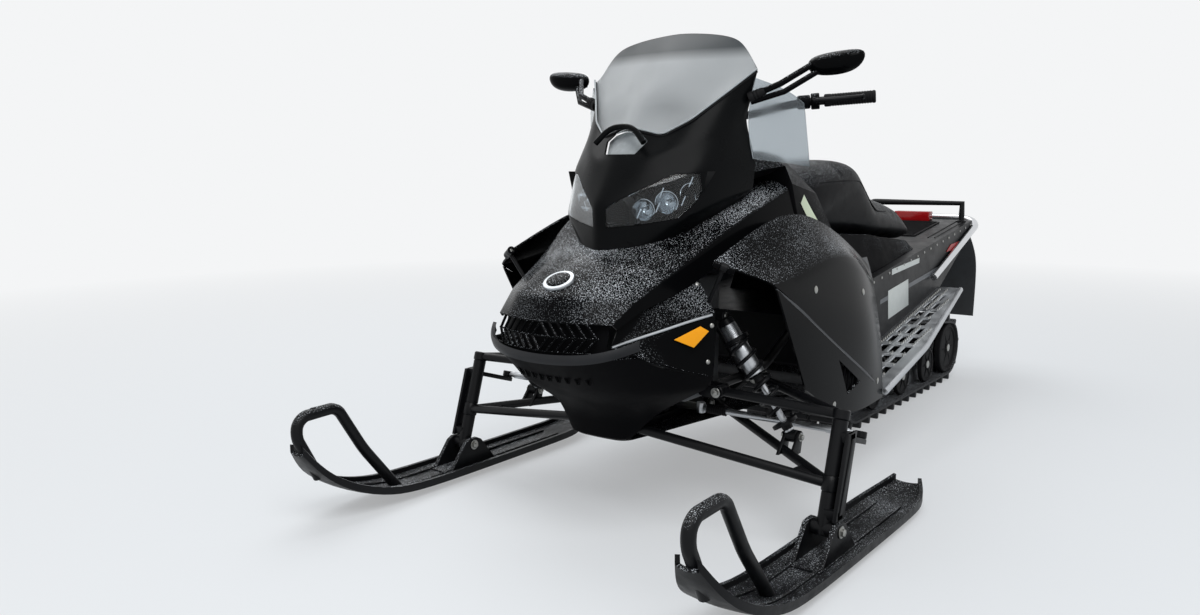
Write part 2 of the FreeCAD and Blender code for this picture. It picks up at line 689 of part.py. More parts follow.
# Left side panel, from its front edge to its rear edge, each column from the top down
SIDE_PANEL = [
    [(290, -915, 640), (400, -842, 590), (402, -770, 470), (398, -678, 330)],
    [(293, -775, 690), (398, -700, 606), (408, -640, 430), (400, -560, 262)],
    [(302, -573, 748), (388, -468, 639), (410, -440, 430), (400, -417, 212)],
    [(332, -380, 680), (376, -300, 585), (408, -290, 400), (392, -270, 206)],
    [(336, -180, 575), (346, -150, 510), (374, -142, 340), (375, -135, 200)],
]
knee_x = tunnel_half() + size("panel_wall") + 0.2
KNEE = [
    [(320, -165, 590), (330, -120, 512), (362, -128, 340), (364, -124, 222)],
    [(290, -60, 585), (300, -20, 500), (306, 0, 350), (300, 20, 255)],
    [(knee_x, 60, 560), (knee_x, 130, 480), (knee_x, 180, 380), (knee_x, 200, 292)],
]
# Left headlamp's outline as (x, z), and the y values its window is cut between
LAMP_OUTLINE = [
    (18, 707), (88, 714), (161, 728), (184, 762), (202, 832), (140, 828), (91, 799), (44, 770), (18, 750),
]
LAMP_CUT = (-1100, -700)
# Console stations: y, low z, low half width, middle z, middle half width, top z, top half width
CONSOLE = [
    (-640, 800, 190, 825, 200, 858, 180),
    (-505, 824, 205, 845, 250, 880, 180),
    (-488, 690, 285, 800, 262, 879, 178),
    (-300, 628, 312, 770, 240, 868, 130),
    (-70.3, 560, 205, 700, 140, 822, 70),
]
# Heights between which the steering post's hole is cut through the console
CONSOLE_BORE = (500, 1100)


def front_bumper():
    tall = size("lip_tall") / 2
    rows = [[(x, y, z - tall) for x, y, z in LIP], [(x, y, z + tall) for x, y, z in LIP]]
    lip = skin(full_rows(rows), size("lip_thick"))
    feature("front_bumper", lip)
    return lip


def lamp_zone(margin):
    """Prism through the pod's front over the left headlamp's outline, drawn in by a margin."""
    middle_x = sum(x for x, z in LAMP_OUTLINE) / len(LAMP_OUTLINE)
    middle_z = sum(z for x, z in LAMP_OUTLINE) / len(LAMP_OUTLINE)
    start, end = LAMP_CUT
    corners = []
    for x, z in LAMP_OUTLINE:
        reach = math.hypot(x - middle_x, z - middle_z)
        shrink = 1 - margin / reach
        corners.append(Vector(middle_x + (x - middle_x) * shrink, start, middle_z + (z - middle_z) * shrink))
    return Part.Face(Part.makePolygon(corners + corners[:1])).extrude(Vector(0, end - start, 0))


def headlight_pod():
    shell = skin(full_rows(POD), size("panel_wall"))
    window = lamp_zone(0)
    pod = trimmed(shell, [window, mirrored(window), hood_shape])
    feature("headlight_pod", pod)
    pair("headlamps", shell.common(lamp_zone(3 * size("fit_gap"))))
    return pod


def steering_axis():
    lean = math.radians(size("post_lean"))
    return Vector(0, math.sin(lean), math.cos(lean))


def post_point(z):
    """Point of the steering post's axis at a height."""
    along = steering_axis()
    top = Vector(0, size("bar_y"), size("bar_z"))
    return top - along * ((size("bar_z") - z) / along.z)


def console():
    sections = []
    for y, low, low_half, middle, middle_half, top, top_half in CONSOLE:
        half = [(low_half, y, low), (middle_half, y, middle), (top_half, y, top)]
        sections.append(half + [(-px, py, pz) for px, py, pz in reversed(half)])
    bore = rod(post_point(CONSOLE_BORE[0]), post_point(CONSOLE_BORE[1]), size("post_hole"), 12)
    body = lofted(sections).cut(bore)
    feature("console", body)
    return body


def hinge_line():
    """Start and direction of the left side panel's hinge, along its upper front edge."""
    return Vector(289, -924, 641), Vector(110, 73, -50).normalize()


def hinge_part(radius, first, last):
    start, along = hinge_line()
    return rod(start + along * first, start + along * last, radius)


def hinge_bracket():
    """Pin of the left side panel with the middle ring, on a bracket from the fascia's rear edge."""
    ring, gap = size("hinge_ring_long"), size("fit_gap")
    first = 6 + ring + gap
    pin = hinge_part(size("hinge_pin"), 6, 6 + 3 * ring + 2 * gap)
    middle = hinge_part(size("hinge_ring"), first, first + ring)
    start, along = hinge_line()
    eye = start + along * (first + ring / 2)
    foot = Vector(262, -888, 544)
    return [pin, middle, rod(eye, foot, size("hinge_pin"), 6)]


hood_shape = skin(full_rows(HOOD), size("panel_wall"))
feature("hood", hood_shape)
pod_shape = headlight_pod()
feature("windshield", trimmed(skin(full_rows(WINDSHIELD), size("clear_wall")), [pod_shape]))
deflector_shape = trimmed(skin(DEFLECTOR, size("clear_wall")), [pod_shape])
pair("wind_deflectors", deflector_shape)
bumper_shape = front_bumper()
belly_shape = trimmed(skin(full_rows(BELLY), size("panel_wall")), [bumper_shape])
feature("belly_pan", belly_shape)
fascia_shape = skin(FASCIA, size("panel_wall"))
for neighbour in (hood_shape, bumper_shape, belly_shape):
    fascia_shape = trimmed(fascia_shape, [neighbour])
pair("side_fascia", fascia_shape.fuse(hinge_bracket()))
console_shape = console()
pair("knee_panels", skin(KNEE, size("panel_wall")))


def gauge():
    facing = Vector(0, 0.8, 1).normalize()
    back = Vector(0, size("gauge_y"), size("gauge_z"))
    dial = rod(back, back + facing * size("gauge_thick"), size("gauge_radius"), 16)
    stem = rod(back - Vector(0, 0, 55), back + Vector(0, 7, 7), size("gauge_radius") / 2)
    feature("gauge", trimmed(dial.fuse(stem), [console_shape]))


gauge()


# Engine, frame and front suspension

def engine():
    mass = doc.addObject("Part::Box", "engine_block")
    mass.setExpression("Length", "2 * dims.engine_half")
    mass.setExpression("Width", "dims.engine_rear - dims.engine_front")
    mass.setExpression("Height", "dims.engine_high - dims.engine_low")
    corner = Vector(-size("engine_half"), size("engine_front"), size("engine_low"))
    mass.Placement = Placement(corner, Rotation())
    publish(mass, "engine")


def king_point(z):
    """Point of the left kingpin's axis at a height."""
    return Vector(size("ski_out"), size("king_low_y") + (z - size("king_low_z")) * slope("king_lean"), z)


king_axis = Vector(0, math.sin(math.radians(size("king_lean"))), math.cos(math.radians(size("king_lean"))))


def lower_arms():
    front = (size("lower_front_x"), size("lower_front_y"), size("lower_in_z"))
    rear = (size("lower_rear_x"), size("lower_rear_y"), size("lower_in_z"))
    ball = king_point(size("king_low_z"))
    tube = size("arm_tube")
    arm = rod(front, ball, tube).fuse([rod(rear, ball, tube)])
    boss = size("ball_radius")
    for x, y, z in (front, rear):
        arm = arm.fuse(rod((x, y - size("boss_half"), z), (x, y + size("boss_half"), z), tube + 3))
    seat_height = size("lower_boss")
    arm = arm.fuse(rod(ball - king_axis * seat_height, ball + king_axis * seat_height, boss))
    eye_y, eye_z, foot_z = size("shock_low_y"), size("shock_low_z"), size("ear_low_z")
    ear = slab([(eye_y - 14, eye_z - 2), (eye_y + 12, eye_z + 12), (eye_y + 2, foot_z), (eye_y - 45, foot_z)],
               0, size("ear_thick"))
    beside = size("eye_half") + size("fit_gap")
    for offset in (-beside - size("ear_thick"), beside):
        one = ear.copy()
        one.translate(Vector(size("shock_low_x") + offset, 0, 0))
        arm = arm.fuse(one)
    pair("lower_arms", arm)


def upper_arms():
    front = (size("upper_in_x"), size("upper_front_y"), size("upper_in_z"))
    rear = (size("upper_in_x"), size("upper_rear_y"), size("upper_in_z"))
    ball = king_point(size("king_high_z"))
    tube = size("arm_tube")
    arm = rod(front, ball, tube).fuse(rod(rear, ball, tube))
    for x, y, z in (front, rear):
        arm = arm.fuse(rod((x, y - size("boss_half"), z), (x, y + size("boss_half"), z), tube + 3))
    seat_height = size("upper_boss")
    arm = arm.fuse(rod(ball - king_axis * seat_height, ball + king_axis * seat_height, size("ball_radius")))
    pair("upper_arms", arm)


def shock_line():
    top = Vector(size("shock_top_x"), size("shock_top_y"), size("shock_top_z"))
    low = Vector(size("shock_low_x"), size("shock_low_y"), size("shock_low_z"))
    return top, low


def shocks():
    top, low = shock_line()
    along = (low - top).normalize()
    body_end = top + along * size("shock_body_long")
    shock = rod(top + along * size("eye_half"), body_end, size("shock_body"))
    shock = shock.fuse(rod(body_end - along * 2, low, size("shock_shaft")))
    half_eye = Vector(size("eye_half"), 0, 0)
    for centre in (top, low):
        shock = shock.fuse(rod(centre - half_eye, centre + half_eye, size("eye_radius")))
    for start in (low - along * size("collar_low"), top + along * size("collar_high")):
        collar = rod(start, start + along * size("collar_thick"), size("coil_radius") + 6)
        shock = shock.fuse(collar)
    pair("shocks", shock)


def coil(start, end, radius, wire, turns, steps, sides):
    """Coil spring wound from flat-sided rod, straight between its sections."""
    along = (end - start).normalize()
    across = along.cross(Vector(0, 1, 0)).normalize()
    other = along.cross(across)
    rise = (end - start).Length / (turns * steps)
    sections = []
    for k in range(turns * steps + 1):
        turn = 2 * math.pi * k / steps
        out = across * math.cos(turn) + other * math.sin(turn)
        centre = start + along * (rise * k)
        ring = []
        for s in range(sides):
            angle = 2 * math.pi * s / sides
            ring.append(centre + out * (radius + wire * math.cos(angle)) + along * (wire * math.sin(angle)))
        sections.append(ring)
    return sections


def springs():
    top, low = shock_line()
    along = (low - top).normalize()
    wire = size("coil_wire")
    start = top + along * (size("collar_high") + size("collar_thick") + wire + size("fit_gap"))
    end = low - along * (size("collar_low") + wire + size("fit_gap"))
    rings = coil(start, end, size("coil_radius"), wire, int(size("coil_turns")), 8, 4)
    pair("springs", banded(rings))


def pivot_lugs(x, y, z, root_x, low_z):
    """Two lugs that hold a pivot boss between them, from the frame out to the boss."""
    lugs = []
    reach = size("boss_half") + size("fit_gap")
    for start in (y - reach - size("lug_thick"), y + reach):
        lugs.append(block((root_x, start, low_z), (x + 4, start + size("lug_thick"), z + 14)))
    return lugs


def rod_eye():
    """Underside of the tie rod's eye, on top of the left steering arm's end."""
    back = Vector(0, king_axis.z, -king_axis.y)
    arm_end = king_point(size("steer_arm_z")) + back * (size("steer_arm") - size("rod_eye_radius"))
    return arm_end + king_axis * (size("steer_arm_thick") / 2 + size("fit_gap"))


def rack_line():
    """Middle of the steering link: its y and z."""
    eye = rod_eye() + king_axis * (size("rod_eye_tall") / 2)
    return eye.y, size("rod_in_z")


def steering_block():
    """Guide of the steering link, under the foot of the steering post."""
    foot = post_point(size("post_low_z")) - steering_axis() * size("fit_gap")
    fall = steering_axis().y / steering_axis().z
    low, front, rear = size("keel_top_z") - 4, foot.y - 36, foot.y + 30
    outline = [(front, low), (rear, low), (rear, foot.z - (rear - foot.y) * fall),
               (front, foot.z - (front - foot.y) * fall)]
    y, z = rack_line()
    beyond = 2 * size("block_half")
    bore = rod((-beyond, y, z), (beyond, y, z), size("link_radius") + size("bore_gap"))
    return slab(outline, -size("block_half"), size("block_half")).cut(bore)


def front_frame():
    top = size("keel_top_z")
    low = top - size("keel_thick")
    front_y, rear_y = size("lower_front_y"), size("lower_rear_y")
    lug_end = size("boss_half") + size("fit_gap") + size("lug_thick")
    keel_half = size("lower_front_x") - 12
    wide_half = size("lower_rear_x") - 12
    tower_x = size("shock_top_x") - 12 - size("tower_tube") - size("fit_gap")
    tower_y = size("upper_rear_y") + lug_end + 20
    keel = block((-keel_half, front_y - lug_end, low), (keel_half, rear_y + lug_end, top))
    plate = block((-wide_half, rear_y - lug_end, low), (wide_half, tower_y + 16, top))
    half = pivot_lugs(size("lower_front_x"), front_y, size("lower_in_z"), keel_half - 10, low)
    half += pivot_lugs(size("lower_rear_x"), rear_y, size("lower_in_z"), wide_half - 10, low)
    for pivot_y in (size("upper_front_y"), size("upper_rear_y")):
        half += pivot_lugs(size("upper_in_x"), pivot_y, size("upper_in_z"), tower_x, size("upper_in_z") - 14)
    tube = size("tower_tube")
    foot = (wide_half - tube, tower_y, top - 6)
    knee = (tower_x, tower_y, size("upper_in_z"))
    half.append(pipe([foot, knee, (tower_x, size("upper_front_y") - lug_end, size("upper_in_z"))], tube, 40))
    head = (tower_x, size("shock_top_y"), size("shock_top_z"))
    half.append(rod((tower_x, size("upper_front_y"), size("upper_in_z")), head, tube))
    half.append(rod((tower_x, size("upper_rear_y"), size("upper_in_z")), head, tube))
    half.append(rod((tower_x, head[1], head[2]), (tower_x + tube, head[1], head[2]), 15))
    back_z = size("back_tube_z")
    back_end = size("tunnel_front") - size("fit_gap")
    back_tube = [(tower_x, tower_y - 20, size("upper_in_z")),
                 (tower_x, tower_y + 60, size("upper_in_z") + 10),
                 (tower_x, back_end - 60, back_z), (tower_x, back_end, back_z)]
    half.append(pipe(back_tube, tube, 60))
    mount_top = size("engine_low") - size("fit_gap")
    half_wide, deep = size("mount_half"), size("mount_deep")
    mount_rows = (size("engine_front"), size("engine_rear") - deep)
    mounts = [block((-half_wide, y, top - 2), (half_wide, y + deep, mount_top)) for y in mount_rows]
    frame = keel.fuse([plate, steering_block()] + mounts + half + [mirrored(piece) for piece in half])
    feature("front_frame", frame)


engine()
lower_arms()
upper_arms()
shocks()
springs()
front_frame()


# Steering: spindles, skis, rack with the tie rods, handlebar

def spindle():
    radius = size("king_radius")
    gap = size("fit_gap")
    lower, upper = king_point(size("king_low_z")), king_point(size("king_high_z"))
    lower_top = lower + king_axis * (size("lower_boss") + gap)
    upper_low = upper - king_axis * (size("upper_boss") + gap)
    post = round_rod(lower_top, upper_low, radius)
    arm_root = king_point(size("steer_arm_z"))
    back = Vector(0, king_axis.z, -king_axis.y)
    arm_end = arm_root + back * size("steer_arm")
    arm = plate_arm(arm_root, arm_end, size("rod_eye_radius") + 1, size("steer_arm_thick"))
    return post.fuse(arm)


def plate_arm(start, end, half_width, thick):
    """Flat bar between two points, its faces square to the kingpin."""
    across = Vector(1, 0, 0)
    corners = [start - across * half_width, start + across * half_width,
               end + across * half_width, end - across * half_width]
    corners = [c - king_axis * (thick / 2) for c in corners]
    return Part.Face(Part.makePolygon(corners + corners[:1])).extrude(king_axis * thick)


def spindle_left():
    shape = spindle()
    low_end = king_point(size("king_low_z")) - king_axis * (size("lower_boss") + size("fit_gap"))
    radius = size("king_radius")
    bolt_z = size("ski_bolt_z")
    bolt = king_point(bolt_z)
    leg = rod(bolt - king_axis * 14, low_end, radius)
    web_x = size("ski_out") + size("ball_radius") + 5
    web_top = king_point(size("steer_arm_z") + 12)
    web_low = king_point(bolt_z + 22)
    depth = 22
    outline = [(web_low.y - depth, web_low.z), (web_low.y + depth, web_low.z),
               (web_top.y + depth, web_top.z), (web_top.y - depth, web_top.z)]
    web = slab(outline, web_x, web_x + 9)
    top_tie = block((size("ski_out"), web_top.y - 15, web_top.z - 22), (web_x + 9, web_top.y + 12, web_top.z))
    low_tie = block((size("ski_out"), web_low.y - 14, web_low.z), (web_x + 9, web_low.y + 14, web_low.z + 22))
    hub = rod((size("ski_out") - 26, bolt.y, bolt.z), (size("ski_out") + 26, bolt.y, bolt.z), 17)
    return shape.fuse([leg, web, top_tie, low_tie, hub])


left_spindle = spindle_left()
feature("spindle_left", left_spindle)
feature("spindle_right", mirrored(left_spindle))

# Ski stations from tail to tip: y, height of the floor's underside, half width
ski_half = size("ski_width") / 2
ski_low = size("ski_bottom")
SKI = [
    (size("ski_tail_y"), ski_low + 26, ski_half * 0.5),
    (size("ski_tail_y") - 60, ski_low + 2, ski_half * 0.9),
    (size("ski_tail_y") - 130, ski_low, ski_half),
    (-1080, ski_low, ski_half),
    (-1190, ski_low + 14, ski_half),
    (-1290, ski_low + 50, ski_half * 0.92),
    (-1364, ski_low + 98, ski_half * 0.72),
    (size("ski_tip_y") + 18, size("ski_tip_z") - 30, ski_half * 0.34),
]


def ski_section(y, low, half):
    """Channel with raised lips, across the ski."""
    x, floor, lip = size("ski_out"), size("ski_floor"), size("ski_lip")
    rim = 9
    return [(x - half, y, low + lip), (x - half, y, low), (x + half, y, low), (x + half, y, low + lip),
            (x + half - rim, y, low + lip), (x + half - rim, y, low + floor),
            (x - half + rim, y, low + floor), (x - half + rim, y, low + lip)]


def ski_left():
    deck = lofted([ski_section(*station) for station in SKI])
    x = size("ski_out")
    tip_y, tip_z = size("ski_tip_y"), size("ski_tip_z")
    loop_top = size("loop_top_z") - size("loop_radius")
    loop_path = [(x, tip_y + 78, tip_z - 96), (x, tip_y + 18, tip_z + 20), (x, tip_y + 33, loop_top - 4),
                 (x, tip_y + 138, loop_top), (x, tip_y + 213, loop_top / 2 + 14),
                 (x, tip_y + 318, ski_low + 6)]
    loop = pipe(loop_path, size("loop_radius"), 45)
    bolt = king_point(size("ski_bolt_z"))
    ears = []
    for offset in (-38, 26 + size("fit_gap")):
        ear = slab([(bolt.y - 90, ski_low + 4), (bolt.y - 22, bolt.z + 18), (bolt.y + 22, bolt.z + 18),
                    (bolt.y + 90, ski_low + 4)], x + offset, x + offset + 12 - size("fit_gap"))
        ears.append(ear)
    return deck.fuse([loop] + ears)


def ski_runner():
    x = size("ski_out")
    radius = size("runner_radius")
    z = radius
    path = [(x, -1060, z + 3), (x, -1000, z), (x, -620, z), (x, -560, z + 3)]
    keel = slab([(-1075, ski_low), (-1060, z + 3), (-560, z + 3), (-545, ski_low)], x - 4, x + 4)
    return pipe(path, radius, 60).fuse(keel)


ski = ski_left()
feature("ski_left", ski)
feature("ski_right", mirrored(ski))
runner = ski_runner()
feature("ski_runner_left", runner)
feature("ski_runner_right", mirrored(runner))


def tie_rods():
    eye_low = rod_eye()
    eye = rod(eye_low, eye_low + king_axis * size("rod_eye_tall"), size("rod_eye_radius"))
    y, z = rack_line()
    inner = Vector(size("rod_in"), y, z)
    rod_left = rod(inner, eye_low + king_axis * (size("rod_eye_tall") / 2), size("rod_radius"))
    half_joint = Vector(0, 0, size("link_joint_half"))
    joint = rod(inner - half_joint, inner + half_joint, size("link_joint_half") - 1)
    link = rod((-inner.x, inner.y, inner.z), (inner.x, inner.y, inner.z), size("link_radius"))
    left = joint.fuse([rod_left, eye])
    shape = link.fuse([left, mirrored(left)])
    feature("tie_rods", shape)


tie_rods()


def bar_path(side):
    end = (side * size("bar_half"), size("bar_end_y"), size("bar_end_z"))
    knee = (side * 175, size("bar_y") + 62, size("bar_z") + 36)
    root = (side * 60, size("bar_y"), size("bar_z"))
    return [end, knee, root]


def lever():
    """Left brake or throttle lever: clamp on the bar, arm and blade."""
    end, knee = Vector(*bar_path(1)[0]), Vector(*bar_path(1)[1])
    along = (end - knee).normalize()
    ahead = along.cross(Vector(0, 0, 1)).normalize()
    if ahead.y > 0:
        ahead = ahead * -1
    perch = end - along * (size("grip_long") + size("perch_room"))
    middle = perch + along * (size("perch_long") / 2)
    clamp = rod(perch, perch + along * size("perch_long"), size("perch_radius"))
    pivot = middle + ahead * size("lever_ahead")
    arm = rod(middle, pivot, size("lever_radius") + 2)
    blade = rod(pivot - along * 4, pivot + along * size("lever_long") + ahead * 6, size("lever_radius"))
    return clamp.fuse([arm, blade])


def handlebar():
    path = bar_path(1) + [tuple(p) for p in reversed(bar_path(-1))]
    bar = pipe(path, size("bar_radius"), 60)
    low, top = post_point(size("post_low_z")), post_point(size("bar_z"))
    post = rod(low, top, size("post_radius"))
    middle, half = Vector(0, size("bar_y"), size("bar_z")), Vector(size("clamp_half"), 0, 0)
    clamp = rod(middle - half, middle + half, size("clamp_radius"))
    feature("handlebar", bar.fuse([post, clamp, lever(), mirrored(lever())]))


def grips():
    end, knee = Vector(*bar_path(1)[0]), Vector(*bar_path(1)[1])
    along = (knee - end).normalize()
    gap = size("fit_gap")
    sleeve = rod(end - along * 6, end + along * size("grip_long"), size("grip_radius"))
    bore = rod(end - along * gap, end + along * (size("grip_long") + 10),
               size("bar_radius") + size("bore_gap"))
    pair("grips", sleeve.cut(bore))


def mirrors():
    x, y, z = size("mirror_out"), size("mirror_y"), size("mirror_z")
    wide, tall, deep = size("mirror_wide"), size("mirror_tall"), size("mirror_deep")
    face = [(x - wide / 2, y, z - tall / 2), (x + wide / 2, y, z - tall / 4),
            (x + wide / 2 + 8, y, z + tall / 2), (x - wide / 2, y, z + tall / 3)]
    back = [(px + (x - px) * 0.35, y - deep, pz + (z - pz) * 0.35) for px, py, pz in face]
    shell = lofted([face, back])
    root, elbow, boot_end = (227, -652, 1006), (300, -630, 1034), (246, -645, 1014)
    stalk = pipe([root, elbow, (x - wide / 3, y - deep / 2, z)], size("stalk_radius"), 20)
    foot = rod(root, boot_end, size("boot_radius"))
    pair("mirrors", trimmed(shell.fuse([stalk, foot]), [pod_shape, deflector_shape]))


handlebar()
grips()
mirrors()


# Front end: grille, reflectors and side panels

def grille():
    rows = [[(0, -1176, 448), (92, -1154, 450), (148, -1120, 452)],
            [(0, -1165, 524), (88, -1147, 523), (148, -1110, 520)]]
    feature("grille", trimmed(skin(full_rows(rows), 8), [bumper_shape, hood_shape]))


def side_reflectors():
    """Thin lens on each fascia, under its upper edge line."""
    start, end, low = Vector(*FASCIA[1][1]), Vector(*FASCIA[1][2]), Vector(*FASCIA[0][1])
    lift = (end - start).cross(low - start).normalize() * -(size("lens_thick") + size("fit_gap"))
    rows = [[start + (end - start) * s + (low - start) * t + lift for s, t in row] for row in REFLECTOR]
    pair("side_reflectors", trimmed(skin(rows, size("lens_thick")), [fascia_shape]))


def side_panels():
    """Panel with two rings that turn on the hinge's pin."""
    ring, gap, pin = size("hinge_ring_long"), size("fit_gap"), size("hinge_pin")
    first, second = 6, 6 + 2 * (ring + gap)
    slot = hinge_part(size("hinge_ring") + 2, first + ring, second)
    panel = trimmed(skin(SIDE_PANEL, size("panel_wall")), [slot])
    rings = [hinge_part(size("hinge_ring"), start, start + ring) for start in (first, second)]
    start, along = hinge_line()
    bore = round_rod(start + along * (first - 2), start + along * (second + ring + 2), pin + gap)
    left = panel.fuse(rings).cut(bore)
    feature("side_panel_left", left)
    feature("side_panel_right", mirrored(left))


grille()
side_reflectors()
side_panels()

doc.recompute()
for obj in doc.Objects:
    if {"Invalid", "Error"} & set(obj.State):
        raise RuntimeError(f"{obj.Label} failed: {obj.State}")
for obj in subparts:
    if obj.Shape.isNull() or not obj.Shape.isValid():
        raise RuntimeError(f"{obj.Label} has no valid shape")
os.makedirs("parts", exist_ok=True)
for obj in subparts:
    obj.Shape.exportStep(f"parts/{obj.Label}.step")
print(len(subparts), "sub-parts written")
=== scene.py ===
import math

import bpy
from mathutils import Matrix, Vector


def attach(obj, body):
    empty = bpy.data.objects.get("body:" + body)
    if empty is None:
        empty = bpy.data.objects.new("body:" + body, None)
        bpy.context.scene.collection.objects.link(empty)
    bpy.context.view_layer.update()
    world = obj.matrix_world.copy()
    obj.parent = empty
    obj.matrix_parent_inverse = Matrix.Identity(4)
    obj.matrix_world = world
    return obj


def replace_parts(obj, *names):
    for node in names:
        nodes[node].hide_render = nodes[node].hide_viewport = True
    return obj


# Snowmobile on a plain pale floor. Metres, +Z up, the front is -Y, the rider's left is +X.

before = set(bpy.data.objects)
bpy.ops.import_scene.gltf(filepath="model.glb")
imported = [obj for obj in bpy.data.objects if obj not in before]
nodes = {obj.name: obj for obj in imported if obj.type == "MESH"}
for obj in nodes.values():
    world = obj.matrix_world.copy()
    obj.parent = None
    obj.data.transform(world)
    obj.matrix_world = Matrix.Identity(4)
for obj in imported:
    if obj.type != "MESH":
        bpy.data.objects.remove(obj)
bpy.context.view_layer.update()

# Sides of the machine: sign of x and the word in a piece's name
SIDES = ((1, "left"), (-1, "right"))
# Leans and slopes in radians: kingpins, steering post, tunnel's top and running boards
KING_LEAN, POST_LEAN = math.radians(17.8), math.radians(22.3)
TUNNEL_SLOPE, BOARD_SLOPE = math.radians(7.5), math.radians(11.3)


# Materials

def srgb(code):
    """Linear colour of an sRGB hex value."""
    channels = [int(code[start:start + 2], 16) / 255 for start in (1, 3, 5)]
    return tuple(c / 12.92 if c <= 0.04045 else ((c + 0.055) / 1.055) ** 2.4 for c in channels) + (1.0,)


def add_node(tree, kind, settings=None, links=None):
    """One shader node with its values and its incoming links."""
    node = tree.nodes.new(kind)
    for key, value in (settings or {}).items():
        if isinstance(key, int) or key in node.inputs:
            node.inputs[key].default_value = value
        else:
            setattr(node, key, value)
    for key, source in (links or {}).items():
        tree.links.new(source, node.inputs[key])
    return node


def start_material(name):
    """New node material with its tree, its shader and its object coordinates."""
    material = bpy.data.materials.new(name)
    material.use_nodes = True
    tree = material.node_tree
    place = add_node(tree, "ShaderNodeTexCoord").outputs["Object"]
    return material, tree, tree.nodes["Principled BSDF"], place


def span(tree, source, low, high, to_low, to_high):
    """Value mapped from one range to another, clamped."""
    return add_node(tree, "ShaderNodeMapRange", {1: low, 2: high, 3: to_low, 4: to_high}, {0: source}).outputs[0]


def noise(tree, place, scale, detail=2.0, roughness=0.5):
    """Value of a noise texture over the object's coordinates."""
    settings = {"Scale": scale, "Detail": detail, "Roughness": roughness}
    return add_node(tree, "ShaderNodeTexNoise", settings, {"Vector": place}).outputs["Fac"]


def math_node(tree, operation, first, second):
    """Result of one sum, product or comparison of two values."""
    return add_node(tree, "ShaderNodeMath", {"operation": operation}, {0: first, 1: second}).outputs[0]


def surface(name, colour, second, rough, rough_spread=0.08, metallic=0.0, patch_mm=90, grain_mm=1.5,
            bump_mm=0.05, frost=0.0, specular=0.5):
    """Finish with slow colour patches, an uneven gloss, a fine grain and, on upward faces, specks of frost."""
    material, tree, shader, place = start_material(name)
    patches = noise(tree, place, 1000 / patch_mm, 4.0, 0.6)
    colour_out = add_node(tree, "ShaderNodeMix", {"data_type": "RGBA", 6: srgb(colour), 7: srgb(second)},
                          {0: patches}).outputs[2]
    rough_out = span(tree, patches, 0.3, 0.7, rough - rough_spread, rough + rough_spread)
    relief = add_node(tree, "ShaderNodeBump", {"Strength": 0.6, "Distance": bump_mm / 1000},
                      {"Height": noise(tree, place, 1000 / grain_mm)})
    if frost:
        facing = add_node(tree, "ShaderNodeSeparateXYZ", {},
                          {0: add_node(tree, "ShaderNodeNewGeometry").outputs["Normal"]})
        upward = span(tree, facing.outputs[2], 0.35, 0.85, 0.0, 1.0)
        drift = span(tree, noise(tree, place, 7.0, 3.0), 0.3, 0.75, -0.08, 0.07 * frost)
        specks = math_node(tree, "ADD", noise(tree, place, 420.0, 1.0, 0.6), drift)
        cover = math_node(tree, "MULTIPLY", span(tree, specks, 0.58, 0.66, 0.0, 0.72), upward)
        frosty = add_node(tree, "ShaderNodeMix", {"data_type": "RGBA", 7: srgb("#e6ebf0")},
                          {0: cover, 6: colour_out})
        dull = add_node(tree, "ShaderNodeMix", {3: 0.85}, {0: cover, 2: rough_out})
        colour_out, rough_out = frosty.outputs[2], dull.outputs[0]
    tree.links.new(colour_out, shader.inputs["Base Color"])
    tree.links.new(rough_out, shader.inputs["Roughness"])
    tree.links.new(relief.outputs["Normal"], shader.inputs["Normal"])
    shader.inputs["Metallic"].default_value = metallic
    if not metallic:
        shader.inputs["Specular IOR Level"].default_value = specular
    return material


# Painted ABS: smooth black lacquer with a deep clear gloss, thin frost specks on its upward faces
gloss_black = surface("black lacquered ABS", "#050506", "#090a0b", 0.16, 0.05, patch_mm=160, grain_mm=6,
                      bump_mm=0.02, frost=1.0, specular=0.03)
# Headlight mask: satin black ABS, wiped clear of frost
mask_black = surface("satin black ABS", "#08090a", "#0e0f10", 0.3, 0.06, patch_mm=120, grain_mm=2.5,
                     bump_mm=0.04, specular=0.05)
# Moulded polypropylene: fine matt grain that scatters light softly
matte_black = surface("grained black polypropylene", "#060607", "#0b0b0d", 0.55, 0.08, patch_mm=70,
                      grain_mm=1.2, bump_mm=0.08, frost=0.12, specular=0.03)
# Same plastic moulded smoother for the nose lip: dark satin
dark_satin = surface("satin black polypropylene", "#17181a", "#212225", 0.4, 0.07, patch_mm=60, grain_mm=1.4,
                     bump_mm=0.06, specular=0.25)
# Moulded nylon with a dark grey pigment: satin, slightly mottled; the same grey also makes the strip in the side
# panel's groove, a painted highlight
grey_nylon_and_groove_highlight = surface("satin grey nylon and painted groove highlight", "#2a2c2f", "#383a3e", 0.42, 0.07, patch_mm=60, grain_mm=1.0, bump_mm=0.08,
                     specular=0.25)
# Powder coat on steel: black orange-peel skin
black_coat = surface("black powder-coated steel", "#08080a", "#101113", 0.38, 0.07, patch_mm=50, grain_mm=2.0,
                     bump_mm=0.10, specular=0.15)
# Bare rolled aluminium: pale grey, dulled by wet salt
rolled_aluminium = surface("rolled aluminium", "#a9acb0", "#c3c6c9", 0.38, 0.08, metallic=1.0, patch_mm=45,
                           grain_mm=1.5, bump_mm=0.04)
# Drawn bright aluminium tube: nearly mirror smooth
bright_tube = surface("drawn bright tube", "#c4c6c8", "#dcdde0", 0.2, 0.05, metallic=1.0, patch_mm=80,
                      grain_mm=2.0, bump_mm=0.02)
# Hard chromed shock body: clean mirror
chromed_steel = surface("hard chromed steel", "#c9cbce", "#dfe0e2", 0.12, 0.04, metallic=1.0, patch_mm=60,
                        grain_mm=3.0, bump_mm=0.01)
